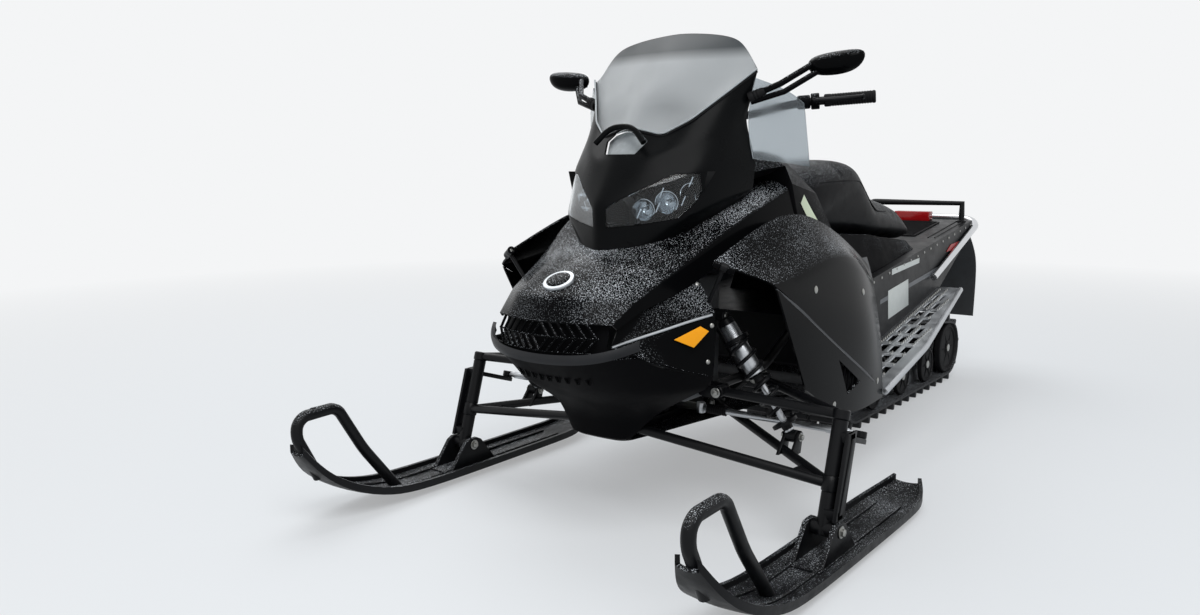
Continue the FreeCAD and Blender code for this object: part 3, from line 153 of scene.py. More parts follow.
# Zinc plated steel: light grey with a faint yellow cast
zinc_steel = surface("zinc plated steel", "#8d8f90", "#a3a29b", 0.35, 0.08, metallic=1.0, patch_mm=25,
                     grain_mm=1.5, bump_mm=0.04)
# Vulcanised rubber of the track: dull black with worn grey patches
track_rubber = surface("vulcanised track rubber", "#151516", "#26272a", 0.72, 0.08, patch_mm=40, grain_mm=1.6,
                       bump_mm=0.2, frost=0.6)
# Soft grip rubber: dense and matt
grip_rubber = surface("soft grip rubber", "#0a0a0b", "#131315", 0.7, 0.06, patch_mm=25, grain_mm=1.0, bump_mm=0.15,
                      specular=0.15)
# Sheet rubber flap: dark grey, mottled by frozen spray
flap_rubber = surface("frosted sheet rubber", "#17181a", "#303336", 0.65, 0.08, patch_mm=28, grain_mm=2.0,
                      bump_mm=0.25)
# Coated vinyl: small leather grain with a soft sheen
seat_vinyl = surface("black seat vinyl", "#08080a", "#111214", 0.42, 0.07, patch_mm=50, grain_mm=1.8, bump_mm=0.22,
                     frost=0.4, specular=0.08)
# Sand cast engine case: rough mid grey
cast_case = surface("sand cast aluminium", "#4e5052", "#66686a", 0.6, 0.08, metallic=0.7, patch_mm=30,
                    grain_mm=2.2, bump_mm=0.3)
# Slippery ski polyethylene: waxy black with scuffs
ski_plastic = surface("waxy ski polyethylene", "#08080a", "#141517", 0.42, 0.1, patch_mm=35, grain_mm=2.5,
                      bump_mm=0.15, frost=0.5, specular=0.15)
# Ruby and amber acrylic lenses: saturated colour under a hard gloss
red_lens = surface("red acrylic lens", "#8e0c10", "#b01418", 0.16, 0.04, patch_mm=20, grain_mm=4, bump_mm=0.1,
                   specular=0.4)
amber_lens = surface("amber acrylic lens", "#f29a00", "#ffab0a", 0.2, 0.04, patch_mm=20, grain_mm=4, bump_mm=0.1,
                     specular=0.3)


def clear_sheet(name, tint, smoke, smoke_low, smoke_high, rough, frost=0.0, film=0.0):
    """Clear sheet that darkens between two heights, with an uneven frost and a thin pale film."""
    material, tree, shader, place = start_material(name)
    height = add_node(tree, "ShaderNodeSeparateXYZ", {}, {0: place}).outputs[2]
    tone = add_node(tree, "ShaderNodeMix", {"data_type": "RGBA", 6: srgb(tint), 7: srgb(smoke)},
                    {0: span(tree, height, smoke_low, smoke_high, 0.0, 1.0)})
    haze = span(tree, noise(tree, place, 9.0, 3.0), 0.4, 0.7, rough, rough + 0.12 + frost)
    tree.links.new(tone.outputs[2], shader.inputs["Base Color"])
    tree.links.new(haze, shader.inputs["Roughness"])
    shader.inputs["Transmission Weight"].default_value = 1.0 - film
    shader.inputs["IOR"].default_value = 1.3
    return material


# Polycarbonate windshield: clear below with frost, smoked in its top band
screen_clear = clear_sheet("smoked polycarbonate", "#b2b6b8", "#4a4f52", 1.098, 1.128, 0.3, 0.08, 0.22)
# Clear side deflector and lamp lens: hard gloss
lens_clear = clear_sheet("clear polycarbonate", "#e8eef2", "#e8eef2", 2.0, 3.0, 0.03)
# Tinted side deflector: faint grey, thinly misted
wing_clear = clear_sheet("tinted polycarbonate", "#b4bcc1", "#b4bcc1", 2.0, 3.0, 0.06, 0.08, 0.12)
# Silver paint on the badge cap, and on the fascia's line, which is a painted highlight along the fascia's crease
silver_trim_and_edge_highlight = surface("silver trim paint and painted highlight", "#a4a8ac", "#c0c4c8", 0.3, 0.06, metallic=0.8, patch_mm=30, grain_mm=2.0,
                      bump_mm=0.03)
# Printed vinyl labels, blank: pale with a faint weathering
blank_label = surface("blank pale vinyl label", "#d9dcd9", "#c8cdc8", 0.4, 0.06, patch_mm=25, grain_mm=3.0,
                      bump_mm=0.03, specular=0.3)
green_label = surface("blank pale green label", "#cfe0b4", "#e6ecd8", 0.4, 0.06, patch_mm=40, grain_mm=3.0,
                      bump_mm=0.03, specular=0.3)
# Rime on the glazing's rim and in the vent: dull pale grey
rime_grey = surface("rimed clear plastic", "#8f9495", "#b9bec0", 0.5, 0.1, patch_mm=14, grain_mm=2.0, bump_mm=0.15,
                    specular=0.3)
# Scraped powder coat of the tunnel band: worn grey
worn_grey = surface("worn grey paint", "#4b4e51", "#626569", 0.4, 0.08, patch_mm=60, grain_mm=2.0, bump_mm=0.06)
# Vacuum-metallised reflector inside the lamps
lamp_mirror = surface("metallised reflector", "#b9bdc0", "#d4d7da", 0.1, 0.04, metallic=1.0, patch_mm=18,
                      grain_mm=6.0, bump_mm=0.02)

# The tunnel is the one CAD node that shows itself; a modelled piece stands for every other
nodes["tunnel"].data.materials.clear()
nodes["tunnel"].data.materials.append(black_coat)


# Camera, light and floor

def place_camera():
    """Camera at the photograph's angle: 37.5 degrees round from the front, 8.6 degrees up."""
    turn, rise, roll = math.radians(37.488), math.radians(8.565), math.radians(-0.351)
    back = Vector((math.sin(turn) * math.cos(rise), -math.cos(turn) * math.cos(rise), math.sin(rise)))
    right = (-back).cross(Vector((0, 0, 1))).normalized()
    up = right.cross(-back)
    rolled_right = right * math.cos(roll) + up * math.sin(roll)
    rolled_up = up * math.cos(roll) - right * math.sin(roll)
    data = bpy.data.cameras.new("camera")
    data.lens = 28.93
    data.sensor_width = 36.0
    camera = bpy.data.objects.new("camera", data)
    bpy.context.scene.collection.objects.link(camera)
    turned = Matrix((rolled_right, rolled_up, back)).transposed().to_4x4()
    camera.matrix_world = Matrix.Translation((1.3576, -2.7091, 0.8559)) @ turned
    bpy.context.scene.camera = camera


def soft_box(name, place, aim, wide, power):
    """Square area light that faces a point."""
    data = bpy.data.lights.new(name, "AREA")
    data.size = wide
    data.energy = power
    lamp = bpy.data.objects.new(name, data)
    bpy.context.scene.collection.objects.link(lamp)
    lamp.location = place
    lamp.rotation_euler = (Vector(aim) - Vector(place)).to_track_quat("-Z", "Y").to_euler()


def pale_rays(tree):
    """1 on the rays that should find the plain pale backdrop: from the camera, off metal and through glass."""
    path = add_node(tree, "ShaderNodeLightPath")
    straight = math_node(tree, "MAXIMUM", path.outputs["Is Camera Ray"], path.outputs["Is Transmission Ray"])
    return math_node(tree, "MAXIMUM", straight, path.outputs["Is Glossy Ray"])


def light_world():
    """Soft sky for the light, and a plain pale backdrop for what is seen or reflected."""
    world = bpy.data.worlds.new("sky")
    bpy.context.scene.world = world
    world.use_nodes = True
    tree = world.node_tree
    tree.nodes.clear()
    soft = add_node(tree, "ShaderNodeBackground", {"Color": srgb("#dfe5ec"), "Strength": 0.5})
    plain = add_node(tree, "ShaderNodeBackground", {"Color": srgb("#f4f5f6"), "Strength": 1.0})
    both = add_node(tree, "ShaderNodeMixShader", {}, {0: pale_rays(tree), 1: soft.outputs[0], 2: plain.outputs[0]})
    add_node(tree, "ShaderNodeOutputWorld", {}, {0: both.outputs[0]})


def lay_floor():
    """Pale floor that keeps the shadow near the machine and fades into the backdrop far from it."""
    only(None)
    bpy.ops.mesh.primitive_plane_add(size=160, location=(0, 0, 0))
    floor = bpy.context.object
    floor.name = "floor"
    material, tree, shader, place = start_material("pale matt floor")
    shader.inputs["Base Color"].default_value = srgb("#dfe3e6")
    shader.inputs["Roughness"].default_value = 0.9
    shader.inputs["Specular IOR Level"].default_value = 0.1
    away = add_node(tree, "ShaderNodeVectorMath", {"operation": "LENGTH"}, {0: place})
    fade = span(tree, away.outputs["Value"], 1.2, 6.0, 0.4, 1.0)
    share = math_node(tree, "MULTIPLY", fade, pale_rays(tree))
    glow = add_node(tree, "ShaderNodeEmission", {"Color": srgb("#f4f5f6"), "Strength": 1.0})
    both = add_node(tree, "ShaderNodeMixShader", {},
                    {0: share, 1: shader.outputs[0], 2: glow.outputs[0]})
    tree.links.new(both.outputs[0], tree.nodes["Material Output"].inputs["Surface"])
    floor.data.materials.append(material)


# Modelling helpers

def edit_all(obj):
    """Only this object selected, in edit mode with all of its mesh selected."""
    only(obj)
    bpy.ops.object.mode_set(mode="EDIT")
    bpy.ops.mesh.select_all(action="SELECT")


def object_mode():
    """Leaves edit mode."""
    bpy.ops.object.mode_set(mode="OBJECT")


def only(obj):
    """Object mode with this object alone selected and active, or nothing selected."""
    if bpy.context.object and bpy.context.object.mode != "OBJECT":
        object_mode()
    bpy.ops.object.select_all(action="DESELECT")
    if obj:
        obj.select_set(True)
        bpy.context.view_layer.objects.active = obj


def modify(obj, kind, **settings):
    """One modifier, set and applied."""
    only(obj)
    change = obj.modifiers.new(kind.lower(), kind)
    for key, value in settings.items():
        setattr(change, key, value)
    bpy.ops.object.modifier_apply(modifier=change.name)
    return obj


def finish_piece(obj, name, finish, body="chassis", smooth=35):
    """Names a piece, bakes its place into its mesh, gives it a finish and a body to ride on."""
    only(obj)
    bpy.ops.object.transform_apply(location=True, rotation=True, scale=True)
    obj.name = name
    obj.data.name = name
    obj.data.materials.clear()
    obj.data.materials.append(finish)
    bpy.ops.object.shade_smooth_by_angle(angle=math.radians(smooth))
    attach(obj, body)
    return obj


def duplicate(obj):
    """Copy of an object with its own mesh."""
    only(obj)
    bpy.ops.object.duplicate()
    return bpy.context.object


def stamped(shape, move):
    """A further copy of a modelled shape, its own mesh moved to its place by a matrix."""
    one = bpy.data.objects.new("one", shape.data.copy())
    bpy.context.scene.collection.objects.link(one)
    one.data.transform(move)
    return one


def mirrored_piece(obj, name, finish, body):
    """The other side's copy, with its own mesh and its faces turned outwards again."""
    copy = duplicate(obj)
    copy.data.transform(Matrix.Scale(-1, 4, (1, 0, 0)))
    edit_all(copy)
    bpy.ops.mesh.flip_normals()
    object_mode()
    return finish_piece(copy, name, finish, body)


def both_sides(obj, name, finish, body="chassis", smooth=35):
    """Left piece and its mirrored right one, riding on one body or on a body a side."""
    bodies = (body, body) if isinstance(body, str) else body
    left = finish_piece(obj, name + "_left", finish, bodies[0], smooth)
    return left, mirrored_piece(left, name + "_right", finish, bodies[1])


def face_out(obj, inside=False):
    """Turns all of a mesh's faces outwards, or inwards."""
    edit_all(obj)
    bpy.ops.mesh.normals_make_consistent(inside=inside)
    object_mode()


def joined(pieces):
    """Several objects made one."""
    only(pieces[0])
    for piece in pieces[1:]:
        piece.select_set(True)
    bpy.ops.object.join()
    return bpy.context.object


def block(low, high, bevel=0.0, segments=2):
    """Cuboid between two corners with softened edges."""
    centre = [(a + b) / 2 for a, b in zip(low, high)]
    only(None)
    bpy.ops.mesh.primitive_cube_add(size=1, location=centre, scale=[b - a for a, b in zip(low, high)])
    obj = bpy.context.object
    bpy.ops.object.transform_apply(location=True, rotation=True, scale=True)
    if bevel:
        edit_all(obj)
        bpy.ops.mesh.bevel(offset=bevel, segments=segments, affect="EDGES")
        object_mode()
    return obj


def turned(start, end, profile, sides=28):
    """Round piece about a line: (share of the length, radius) pairs, extruded ring by ring."""
    a, b = Vector(start), Vector(end)
    along = b - a
    only(None)
    bpy.ops.mesh.primitive_circle_add(vertices=sides, radius=profile[0][1], fill_type="NGON")
    obj = bpy.context.object
    bpy.ops.object.mode_set(mode="EDIT")
    for (s0, r0), (s1, r1) in zip(profile, profile[1:]):
        step = (0, 0, (s1 - s0) * along.length)
        bpy.ops.mesh.extrude_region_move(TRANSFORM_OT_translate={"value": step})
        if abs(r1 - r0) > 1e-7:
            bpy.ops.transform.resize(value=(r1 / r0, r1 / r0, 1))
    bpy.ops.mesh.select_all(action="SELECT")
    bpy.ops.mesh.normals_make_consistent(inside=False)
    object_mode()
    lean = along.to_track_quat("Z", "Y").to_matrix().to_4x4()
    obj.matrix_world = Matrix.Translation(a + along * profile[0][0]) @ lean
    only(obj)
    bpy.ops.object.transform_apply(location=True, rotation=True, scale=True)
    return obj


def bent_bar(points, radius, bend, segments=5, resolution=5):
    """Round bar along a path: one vertex extruded from point to point, its corners bevelled, then given a section."""
    only(None)
    bpy.ops.mesh.primitive_plane_add(size=0.001, location=points[0])
    obj = bpy.context.object
    bpy.ops.object.mode_set(mode="EDIT")
    bpy.ops.mesh.merge(type="CENTER")
    for a, b in zip(points, points[1:]):
        bpy.ops.mesh.extrude_region_move(TRANSFORM_OT_translate={"value": Vector(b) - Vector(a)})
    object_mode()
    if bend:
        for index, vertex in enumerate(obj.data.vertices):
            vertex.select = 0 < index < len(points) - 1
        bpy.ops.object.mode_set(mode="EDIT")
        bpy.ops.mesh.bevel(offset=bend, segments=segments, affect="VERTICES", clamp_overlap=True)
        object_mode()
    only(obj)
    bpy.ops.object.convert(target="CURVE")
    obj = bpy.context.object
    obj.data.bevel_depth = radius
    obj.data.bevel_resolution = resolution
    obj.data.use_fill_caps = True
    bpy.ops.object.convert(target="MESH")
    obj = bpy.context.object
    bpy.ops.object.transform_apply(location=True, rotation=True, scale=True)
    edit_all(obj)
    bpy.ops.mesh.remove_doubles(threshold=0.0001)
    bpy.ops.mesh.normals_make_consistent(inside=False)
    object_mode()
    return obj


def moulded_sheet(rows, wall, creases=(), levels=3):
    """Curved panel: a grid moved to a table of points, creased along rows ('r', i) or columns ('c', j),
    smoothed, then given its wall on the inside."""
    count_rows, count_cols = len(rows), len(rows[0])
    only(None)
    bpy.ops.mesh.primitive_grid_add(x_subdivisions=count_cols - 1, y_subdivisions=count_rows - 1, size=1)
    obj = bpy.context.object
    mesh = obj.data
    for i, row in enumerate(rows):
        for j, point in enumerate(row):
            mesh.vertices[i * count_cols + j].co = Vector(point) / 1000
    sharp = mesh.attributes.new("crease_edge", "FLOAT", "EDGE")
    for edge in mesh.edges:
        (i0, j0), (i1, j1) = (divmod(v, count_cols) for v in edge.vertices)
        for kind, index, value in creases:
            if (kind == "r" and i0 == i1 == index) or (kind == "c" and j0 == j1 == index):
                sharp.data[edge.index].value = value
    modify(obj, "SUBSURF", levels=levels, render_levels=levels, boundary_smooth="PRESERVE_CORNERS")
    if wall:
        modify(obj, "SOLIDIFY", thickness=wall, offset=-1, use_even_offset=True)
    return obj


def lofted_body(rings):
    """Closed, smoothed form through rings of points (millimetres): a grid closed on itself, both ends filled."""
    count = len(rings[0])
    only(None)
    bpy.ops.mesh.primitive_grid_add(x_subdivisions=count, y_subdivisions=len(rings) - 1, size=1)
    obj = bpy.context.object
    for i, ring in enumerate(rings):
        for j in range(count + 1):
            obj.data.vertices[i * (count + 1) + j].co = mm(*ring[j % count])
    edit_all(obj)
    bpy.ops.mesh.remove_doubles(threshold=0.00001)
    bpy.ops.mesh.select_all(action="SELECT")
    bpy.ops.mesh.fill_holes(sides=0)
    bpy.ops.mesh.select_all(action="SELECT")
    bpy.ops.mesh.normals_make_consistent(inside=False)
    object_mode()
    return modify(obj, "SUBSURF", levels=2, render_levels=2)


def full(half_rows):
    """Rows across the whole machine from half rows that start on the middle line."""
    return [[(-x, y, z) for x, y, z in reversed(row[1:])] + list(row) for row in half_rows]


def mm(x, y, z):
    """Point or move in metres from millimetres."""
    return Vector((x, y, z)) / 1000


def outlined(corners):
    """Flat face through corner points in metres."""
    only(None)
    bpy.ops.mesh.primitive_circle_add(vertices=len(corners), radius=1, fill_type="NGON")
    obj = bpy.context.object
    for vertex, corner in zip(obj.data.vertices, corners):
        vertex.co = corner
    return obj


def extruded(corners, move):
    """Solid from a flat outline of corner points by a straight extrusion, all in millimetres."""
    obj = outlined([mm(*corner) for corner in corners])
    edit_all(obj)
    bpy.ops.mesh.extrude_region_move(TRANSFORM_OT_translate={"value": mm(*move)})
    bpy.ops.mesh.select_all(action="SELECT")
    bpy.ops.mesh.normals_make_consistent(inside=False)
    object_mode()
    return obj


def rounded(obj, bevel):
    """Bevels a plate's sharp edges."""
    return modify(obj, "BEVEL", width=bevel, segments=2, limit_method="ANGLE", angle_limit=math.radians(25))


def prism(outline, near, far):
    """Solid of an (x, z) outline in millimetres between two y values, for cutting."""
    return extruded([(x, near, z) for x, z in outline], (0, far - near, 0))


def side_slab(outline, x_low, x_high, bevel=0.001):
    """Plate of a (y, z) outline in millimetres between two x values, its edges rounded."""
    obj = extruded([(x_low, y, z) for y, z in outline], (x_high - x_low, 0, 0))
    return rounded(obj, bevel) if bevel else obj


def thin_quad(corners, thick):
    """Thin plate on four corner points in metres, in a plane's own order: two near, two far."""
    only(None)
    bpy.ops.mesh.primitive_plane_add(size=1)
    quad = bpy.context.object
    for vertex, corner in zip(quad.data.vertices, corners):
        vertex.co = corner
    return modify(quad, "SOLIDIFY", thickness=thick, offset=0)


def cut(obj, tool, operation="DIFFERENCE"):
    """Boolean with a tool that is then removed."""
    modify(obj, "BOOLEAN", operation=operation, object=tool, solver="EXACT")
    bpy.data.objects.remove(tool)


def bar(start, end, radius, sides=20, edge=0.0015):
    """Round bar between two points in millimetres with softened ends."""
    a, b = mm(*start), mm(*end)
    radius, share = radius / 1000, edge / (b - a).length
    return turned(a, b, [(0, radius - edge), (share, radius), (1 - share, radius), (1, radius - edge)], sides)


def disc(place, normal, radius, thick, sides=28, edge=0.001):
    """Round cap of a thickness, standing on a point (metres) along a normal."""
    share = edge / thick
    return turned(place, place + normal * thick, [(0, radius), (1 - share, radius), (1, radius - edge)], sides)


def softened(node_name, piece_name, finish, width, angle=28, segments=3):
    """Copy of a node's mesh with its loose triangles merged, flat facets dissolved and edges rounded."""
    obj = stamped(nodes[node_name], Matrix.Identity(4))
    edit_all(obj)
    bpy.ops.mesh.remove_doubles(threshold=0.00002)
    bpy.ops.mesh.dissolve_limited(angle_limit=math.radians(1.5))
    object_mode()
    modify(obj, "BEVEL", width=width, segments=segments, limit_method="ANGLE", angle_limit=math.radians(angle))
    obj = finish_piece(obj, piece_name, finish)
    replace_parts(obj, node_name)
    return obj


def surface_at(obj, origin, direction):
    """Point and outward normal where a ray (metres) meets a piece whose place is in its mesh."""
    hit, place, normal = obj.ray_cast(Vector(origin), Vector(direction).normalized())[:3]
    if not hit:
        raise RuntimeError(f"nothing of {obj.name} lies along the ray from {tuple(origin)}")
    return place, (-normal if normal.dot(Vector(direction)) > 0 else normal)


def hex_head(place, normal, radius, washer=True):
    """Hexagon bolt head on its washer, standing on a surface."""
    parts = []
    if washer:
        parts.append(disc(place - normal * 0.0005, normal, radius * 1.5, 0.002, 20, 0.0004))
    head = turned(place, place + normal * (0.0015 + radius * 0.75),
                  [(0, radius), (0.85, radius), (1, radius * 0.82)], 6)
    dimple = turned(place + normal * (0.0014 + radius * 0.75), place + normal * (0.0022 + radius * 0.75),
                    [(0, radius * 0.6), (1, radius * 0.4)], 12)
    return joined(parts + [head, dimple])


def strip_on(obj, points, direction, half_wide, thick, lift=0.0004):
    """Thin band laid along points (millimetres) that are dropped onto a piece in one direction."""
    landed = [surface_at(obj, mm(*point) - Vector(direction) * 0.3, direction) for point in points]
    only(None)
    bpy.ops.mesh.primitive_grid_add(x_subdivisions=1, y_subdivisions=len(points) - 1, size=1)
    band = bpy.context.object
    for k, (place, normal) in enumerate(landed):
        ahead = landed[min(k + 1, len(landed) - 1)][0] - landed[max(k - 1, 0)][0]
        across = ahead.cross(normal).normalized()
        for j, side in enumerate((-1, 1)):
            band.data.vertices[2 * k + j].co = place + across * side * half_wide + normal * lift
    face_out(band)
    if band.data.polygons[0].normal.dot(landed[0][1]) < 0:
        edit_all(band)
        bpy.ops.mesh.flip_normals()
        object_mode()
    modify(band, "SOLIDIFY", thickness=thick, offset=1)
    return band


place_camera()
light_world()
soft_box("key", (2.2, -3.0, 4.4), (0, -0.4, 0.5), 3.0, 150)
soft_box("sky panel", (-2.5, 0.8, 4.6), (0, 0, 0.5), 4.0, 110)
lay_floor()
bpy.context.scene.view_settings.view_transform = "Standard"


# Bodywork. Each table holds a panel's rows of points in millimetres; those from x = 0 are mirrored to full rows.

HOOD = [
    [(0, -1168, 520), (92, -1150, 519), (162, -1108, 516), (166, -1097, 506)],
    [(0, -1148, 569), (96, -1118, 567), (180, -1042, 564), (187, -1034, 540)],
    [(0, -1062, 618), (100, -1018, 620), (193, -965, 602), (205, -957, 560)],
    [(0, -965, 650), (84, -936, 655), (205, -893, 637), (223, -884, 585)],
    [(0, -860, 684), (130, -830, 692), (235, -799, 687), (250, -794, 635)],
    [(0, -740, 715), (172, -735, 733), (250, -715, 725), (264, -711, 670)],
    [(0, -640, 745), (205, -640, 782), (254, -640, 751), (270, -639, 700)],
    [(0, -505, 770), (215, -505, 812), (258, -505, 790), (275, -500, 725)],
]
POD = [
    [(0, -950, 640), (62, -930, 643), (118, -868, 665), (158, -790, 690), (190, -655, 745)],
    [(0, -950, 700), (112, -888, 709), (168, -858, 724), (207, -790, 757), (234, -640, 790)],
    [(0, -955, 752), (72, -905, 785), (132, -853, 818), (205, -790, 845), (240, -640, 850)],
    [(0, -885, 855), (75, -868, 860), (150, -800, 893), (208, -718, 922), (212, -640, 955)],
    [(0, -839, 933), (85, -808, 911), (140, -765, 947), (195, -695, 1010), (240, -640, 1062)],
]
WINDSHIELD = [
    [(0, -838, 934), (85, -807, 912), (140, -764, 948), (195, -694, 1011), (240, -639, 1063)],
    [(0, -770, 1012), (87, -752, 998), (145, -720, 1014), (194, -676, 1052), (239, -636, 1067)],
    [(0, -690, 1092), (88, -684, 1083), (148, -668, 1082), (192, -648, 1092), (237, -631, 1070)],
    [(0, -602, 1175), (90, -606, 1167), (150, -610, 1155), (190, -616, 1138), (233, -627, 1074)],
]
DEFLECTOR = [
    [(236, -646, 862), (295, -568, 850), (330, -536, 842)],
    [(212, -642, 955), (295, -575, 930), (326, -545, 915)],
    [(238.5, -646, 1050), (290, -585, 1025), (320, -554, 992)],
]
SIDE_PANEL = [
    [(290, -915, 640), (400, -842, 590), (402, -770, 470), (398, -678, 330)],
    [(293, -775, 690), (398, -700, 606), (408, -640, 430), (400, -560, 262)],
    [(302, -573, 748), (388, -468, 639), (410, -440, 430), (400, -417, 212)],
    [(332, -380, 680), (376, -300, 585), (408, -290, 400), (392, -270, 206)],
    [(336, -180, 575), (346, -150, 510), (374, -142, 340), (375, -135, 200)],
]
KNEE = [
    [(300, -205, 592), (312, -172, 514), (344, -178, 340), (346, -174, 224)],
    [(320, -165, 590), (330, -120, 512), (362, -128, 340), (364, -124, 222)],
    [(290, -60, 585), (300, -20, 500), (306, 0, 350), (300, 20, 255)],
    [(227, 60, 560), (227, 130, 480), (227, 180, 380), (227, 200, 292)],
]
BELLY = [
    [(0, -320, 196), (60, -320, 196), (110, -320, 198), (150, -320, 203), (190, -320, 213)],
    [(0, -962, 208), (40, -961, 208), (60, -957, 208), (72, -951, 209), (80, -943, 210)],
    [(0, -982, 282), (64, -972, 282), (104, -956, 282), (132, -936, 284), (152, -915, 288)],
    [(0, -1085, 352), (110, -1070, 352), (180, -1020, 350), (225, -960, 350), (262, -892, 352)],
    [(0, -1178, 426), (130, -1152, 431), (205, -1090, 457), (250, -1005, 415), (286, -903, 386)],
]
FASCIA = [
    [(203, -1090, 455), (249, -1010, 408), (285, -903, 384)],
    [(152, -1100, 466), (218, -1008, 496), (287, -898, 527)],
    [(160, -1062, 540), (190, -940, 586), (212, -862, 610)],
]
# Middle line of the nose lip
LIP = [(0, -1187, 437), (130, -1160, 442), (192, -1112, 462), (212, -1080, 474)]
# Left lamp window's (x, z) outline
LAMP_WINDOW = [
    (18, 707), (88, 714), (161, 728), (184, 762), (202, 832), (140, 828), (91, 799), (44, 770), (18, 750),
]
# Reach of the cuts for the lamps and for the vent: near and far y
LAMP_DEPTH, VENT_DEPTH = (-1100, -700), (-1000, -790)
# Pressed line of the left side panel between its ends
PANEL_LINE = [(407, -718, 520), (411, -618, 462), (412, -502, 398), (404, -341, 316)]
# Hinge of the left side panel: start and direction in millimetres
HINGE = (289, -924, 641), (110, 73, -50)


def hood():
    """Creased nose and shoulders in one shell."""
    creases = [("r", 1, 0.85), ("c", 1, 0.9), ("c", 5, 0.9), ("c", 2, 0.35), ("c", 4, 0.35), ("r", 0, 1.0),
               ("c", 0, 1.0), ("c", 6, 1.0)]
    shell = moulded_sheet(full(HOOD), 0.0045, creases)
    shell = finish_piece(shell, "hood_shell", gloss_black)
    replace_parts(shell, "hood")
    return shell


def badge(shell):
    """Plain round cap on the nose, domed inside a raised ring."""
    place, normal = surface_at(shell, mm(0, -1087, 720), (0, 0, -1))
    seat = turned(place - normal * 0.003, place + normal * 0.006,
                  [(0, 0.036), (0.7, 0.0365), (0.9, 0.0355), (1, 0.032)], 48)
    finish_piece(seat, "badge_ring", silver_trim_and_edge_highlight)
    dome = turned(place + normal * 0.003, place + normal * 0.0095,
                  [(0, 0.028), (0.5, 0.028), (0.7, 0.0255), (0.88, 0.018), (1, 0.008)], 48)
    finish_piece(dome, "badge_cap", gloss_black)


def lamp_outline(shrink, side):
    """Lamp window's outline drawn towards its middle by some millimetres, for one side."""
    count = len(LAMP_WINDOW)
    middle = Vector((sum(p[0] for p in LAMP_WINDOW) / count, sum(p[1] for p in LAMP_WINDOW) / count))
    points = []
    for x, z in LAMP_WINDOW:
        out = Vector((x, z)) - middle
        point = middle + out * (1 - shrink / out.length)
        points.append((side * point.x, point.y))
    return points


def pod():
    """Mask under the windshield with its two lamp windows, and the clear lenses that fill them."""
    creases = [("r", 1, 0.6), ("r", 2, 0.45), ("r", 3, 0.5), ("c", 4, 0.4), ("r", 4, 1.0)]
    shell = moulded_sheet(full(POD), 0.005, creases)
    glazing = duplicate(shell)
    plug = duplicate(glazing)
    plug.data.transform(Matrix.Translation((0, 0.012, -0.004)))
    for side in (1, -1):
        cut(shell, prism(lamp_outline(0, side), *LAMP_DEPTH))
    cut(glazing, joined([prism(lamp_outline(1.5, side), *LAMP_DEPTH) for side in (1, -1)]), "INTERSECT")
    vent_outline = [(-30, 928), (30, 928), (60, 904), (44, 874), (-44, 874), (-60, 904)]
    cut(shell, prism(vent_outline, *VENT_DEPTH))
    shell = finish_piece(shell, "mask_shell", mask_black)
    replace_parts(shell, "headlight_pod")
    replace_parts(finish_piece(glazing, "lamp_lenses", lens_clear), "headlamps")
    inner = [(x * 1.05, 900 + (z - 900) * 1.05) for x, z in vent_outline]
    cut(plug, prism(inner, *VENT_DEPTH), "INTERSECT")
    finish_piece(plug, "vent_insert", rime_grey)
    brow = bent_bar([mm(-70, -862, 900), mm(-36, -852, 934), mm(0, -848, 940), mm(36, -852, 934),
                     mm(70, -862, 900)], 0.007, 0.02, 6)
    finish_piece(brow, "vent_brow", mask_black)


def lamp_bowl(place, aim, radius):
    """Bright bowl, open towards its aim, with its bulb."""
    bowl = turned(place - aim * 0.03, place,
                  [(0, radius * 0.3), (0.25, radius * 0.62), (0.6, radius * 0.87), (1, radius)], 32)
    edit_all(bowl)
    bpy.ops.mesh.select_all(action="DESELECT")
    object_mode()
    for face in bowl.data.polygons:
        face.select = face.normal.dot(aim) > 0.95 and len(face.vertices) == 32
    bpy.ops.object.mode_set(mode="EDIT")
    bpy.ops.mesh.select_mode(type="FACE")
    bpy.ops.mesh.delete(type="FACE")
    bpy.ops.mesh.select_mode(type="VERT")
    object_mode()
    modify(bowl, "SOLIDIFY", thickness=0.0015, offset=0)
    return [bowl, turned(place - aim * 0.024, place - aim * 0.006, [(0, 0.006), (0.8, 0.006), (1, 0.003)], 16)]


def lamp_insides():
    """Reflector bowls, fins and a bright end plate in a black housing behind each lens."""
    for side, name in SIDES:
        aim = Vector((side * 0.35, -0.9, -0.08)).normalized()
        bowls = []
        for x, y, z, radius in ((70, -862, 745, 26), (118, -838, 762, 27), (160, -800, 782, 25)):
            bowls += lamp_bowl(mm(side * x, y, z), aim, radius / 1000)
        finish_piece(joined(bowls), f"lamp_bowls_{name}", lamp_mirror)
        finish_piece(prism(lamp_outline(-3, side), -800, -752), f"lamp_housing_{name}", mask_black)
        fins = []
        for x, y, z in ((52, -854, 728), (92, -836, 742), (96, -826, 776), (140, -802, 757), (150, -786, 800)):
            start = mm(side * x, y, z)
            end = start + Vector((side * 0.012, -0.004, 0.022))
            fins.append(thin_quad((start, end, start + aim * 0.02, end + aim * 0.014), 0.0025))
        finish_piece(joined(fins), f"lamp_fins_{name}", lamp_mirror)
        plate = ((172, -800, 768), (188, -780, 778), (166, -798, 818), (196, -776, 826))
        plate = thin_quad([mm(side * x, y, z) for x, y, z in plate], 0.002)
        finish_piece(plate, f"lamp_end_{name}", lamp_mirror)


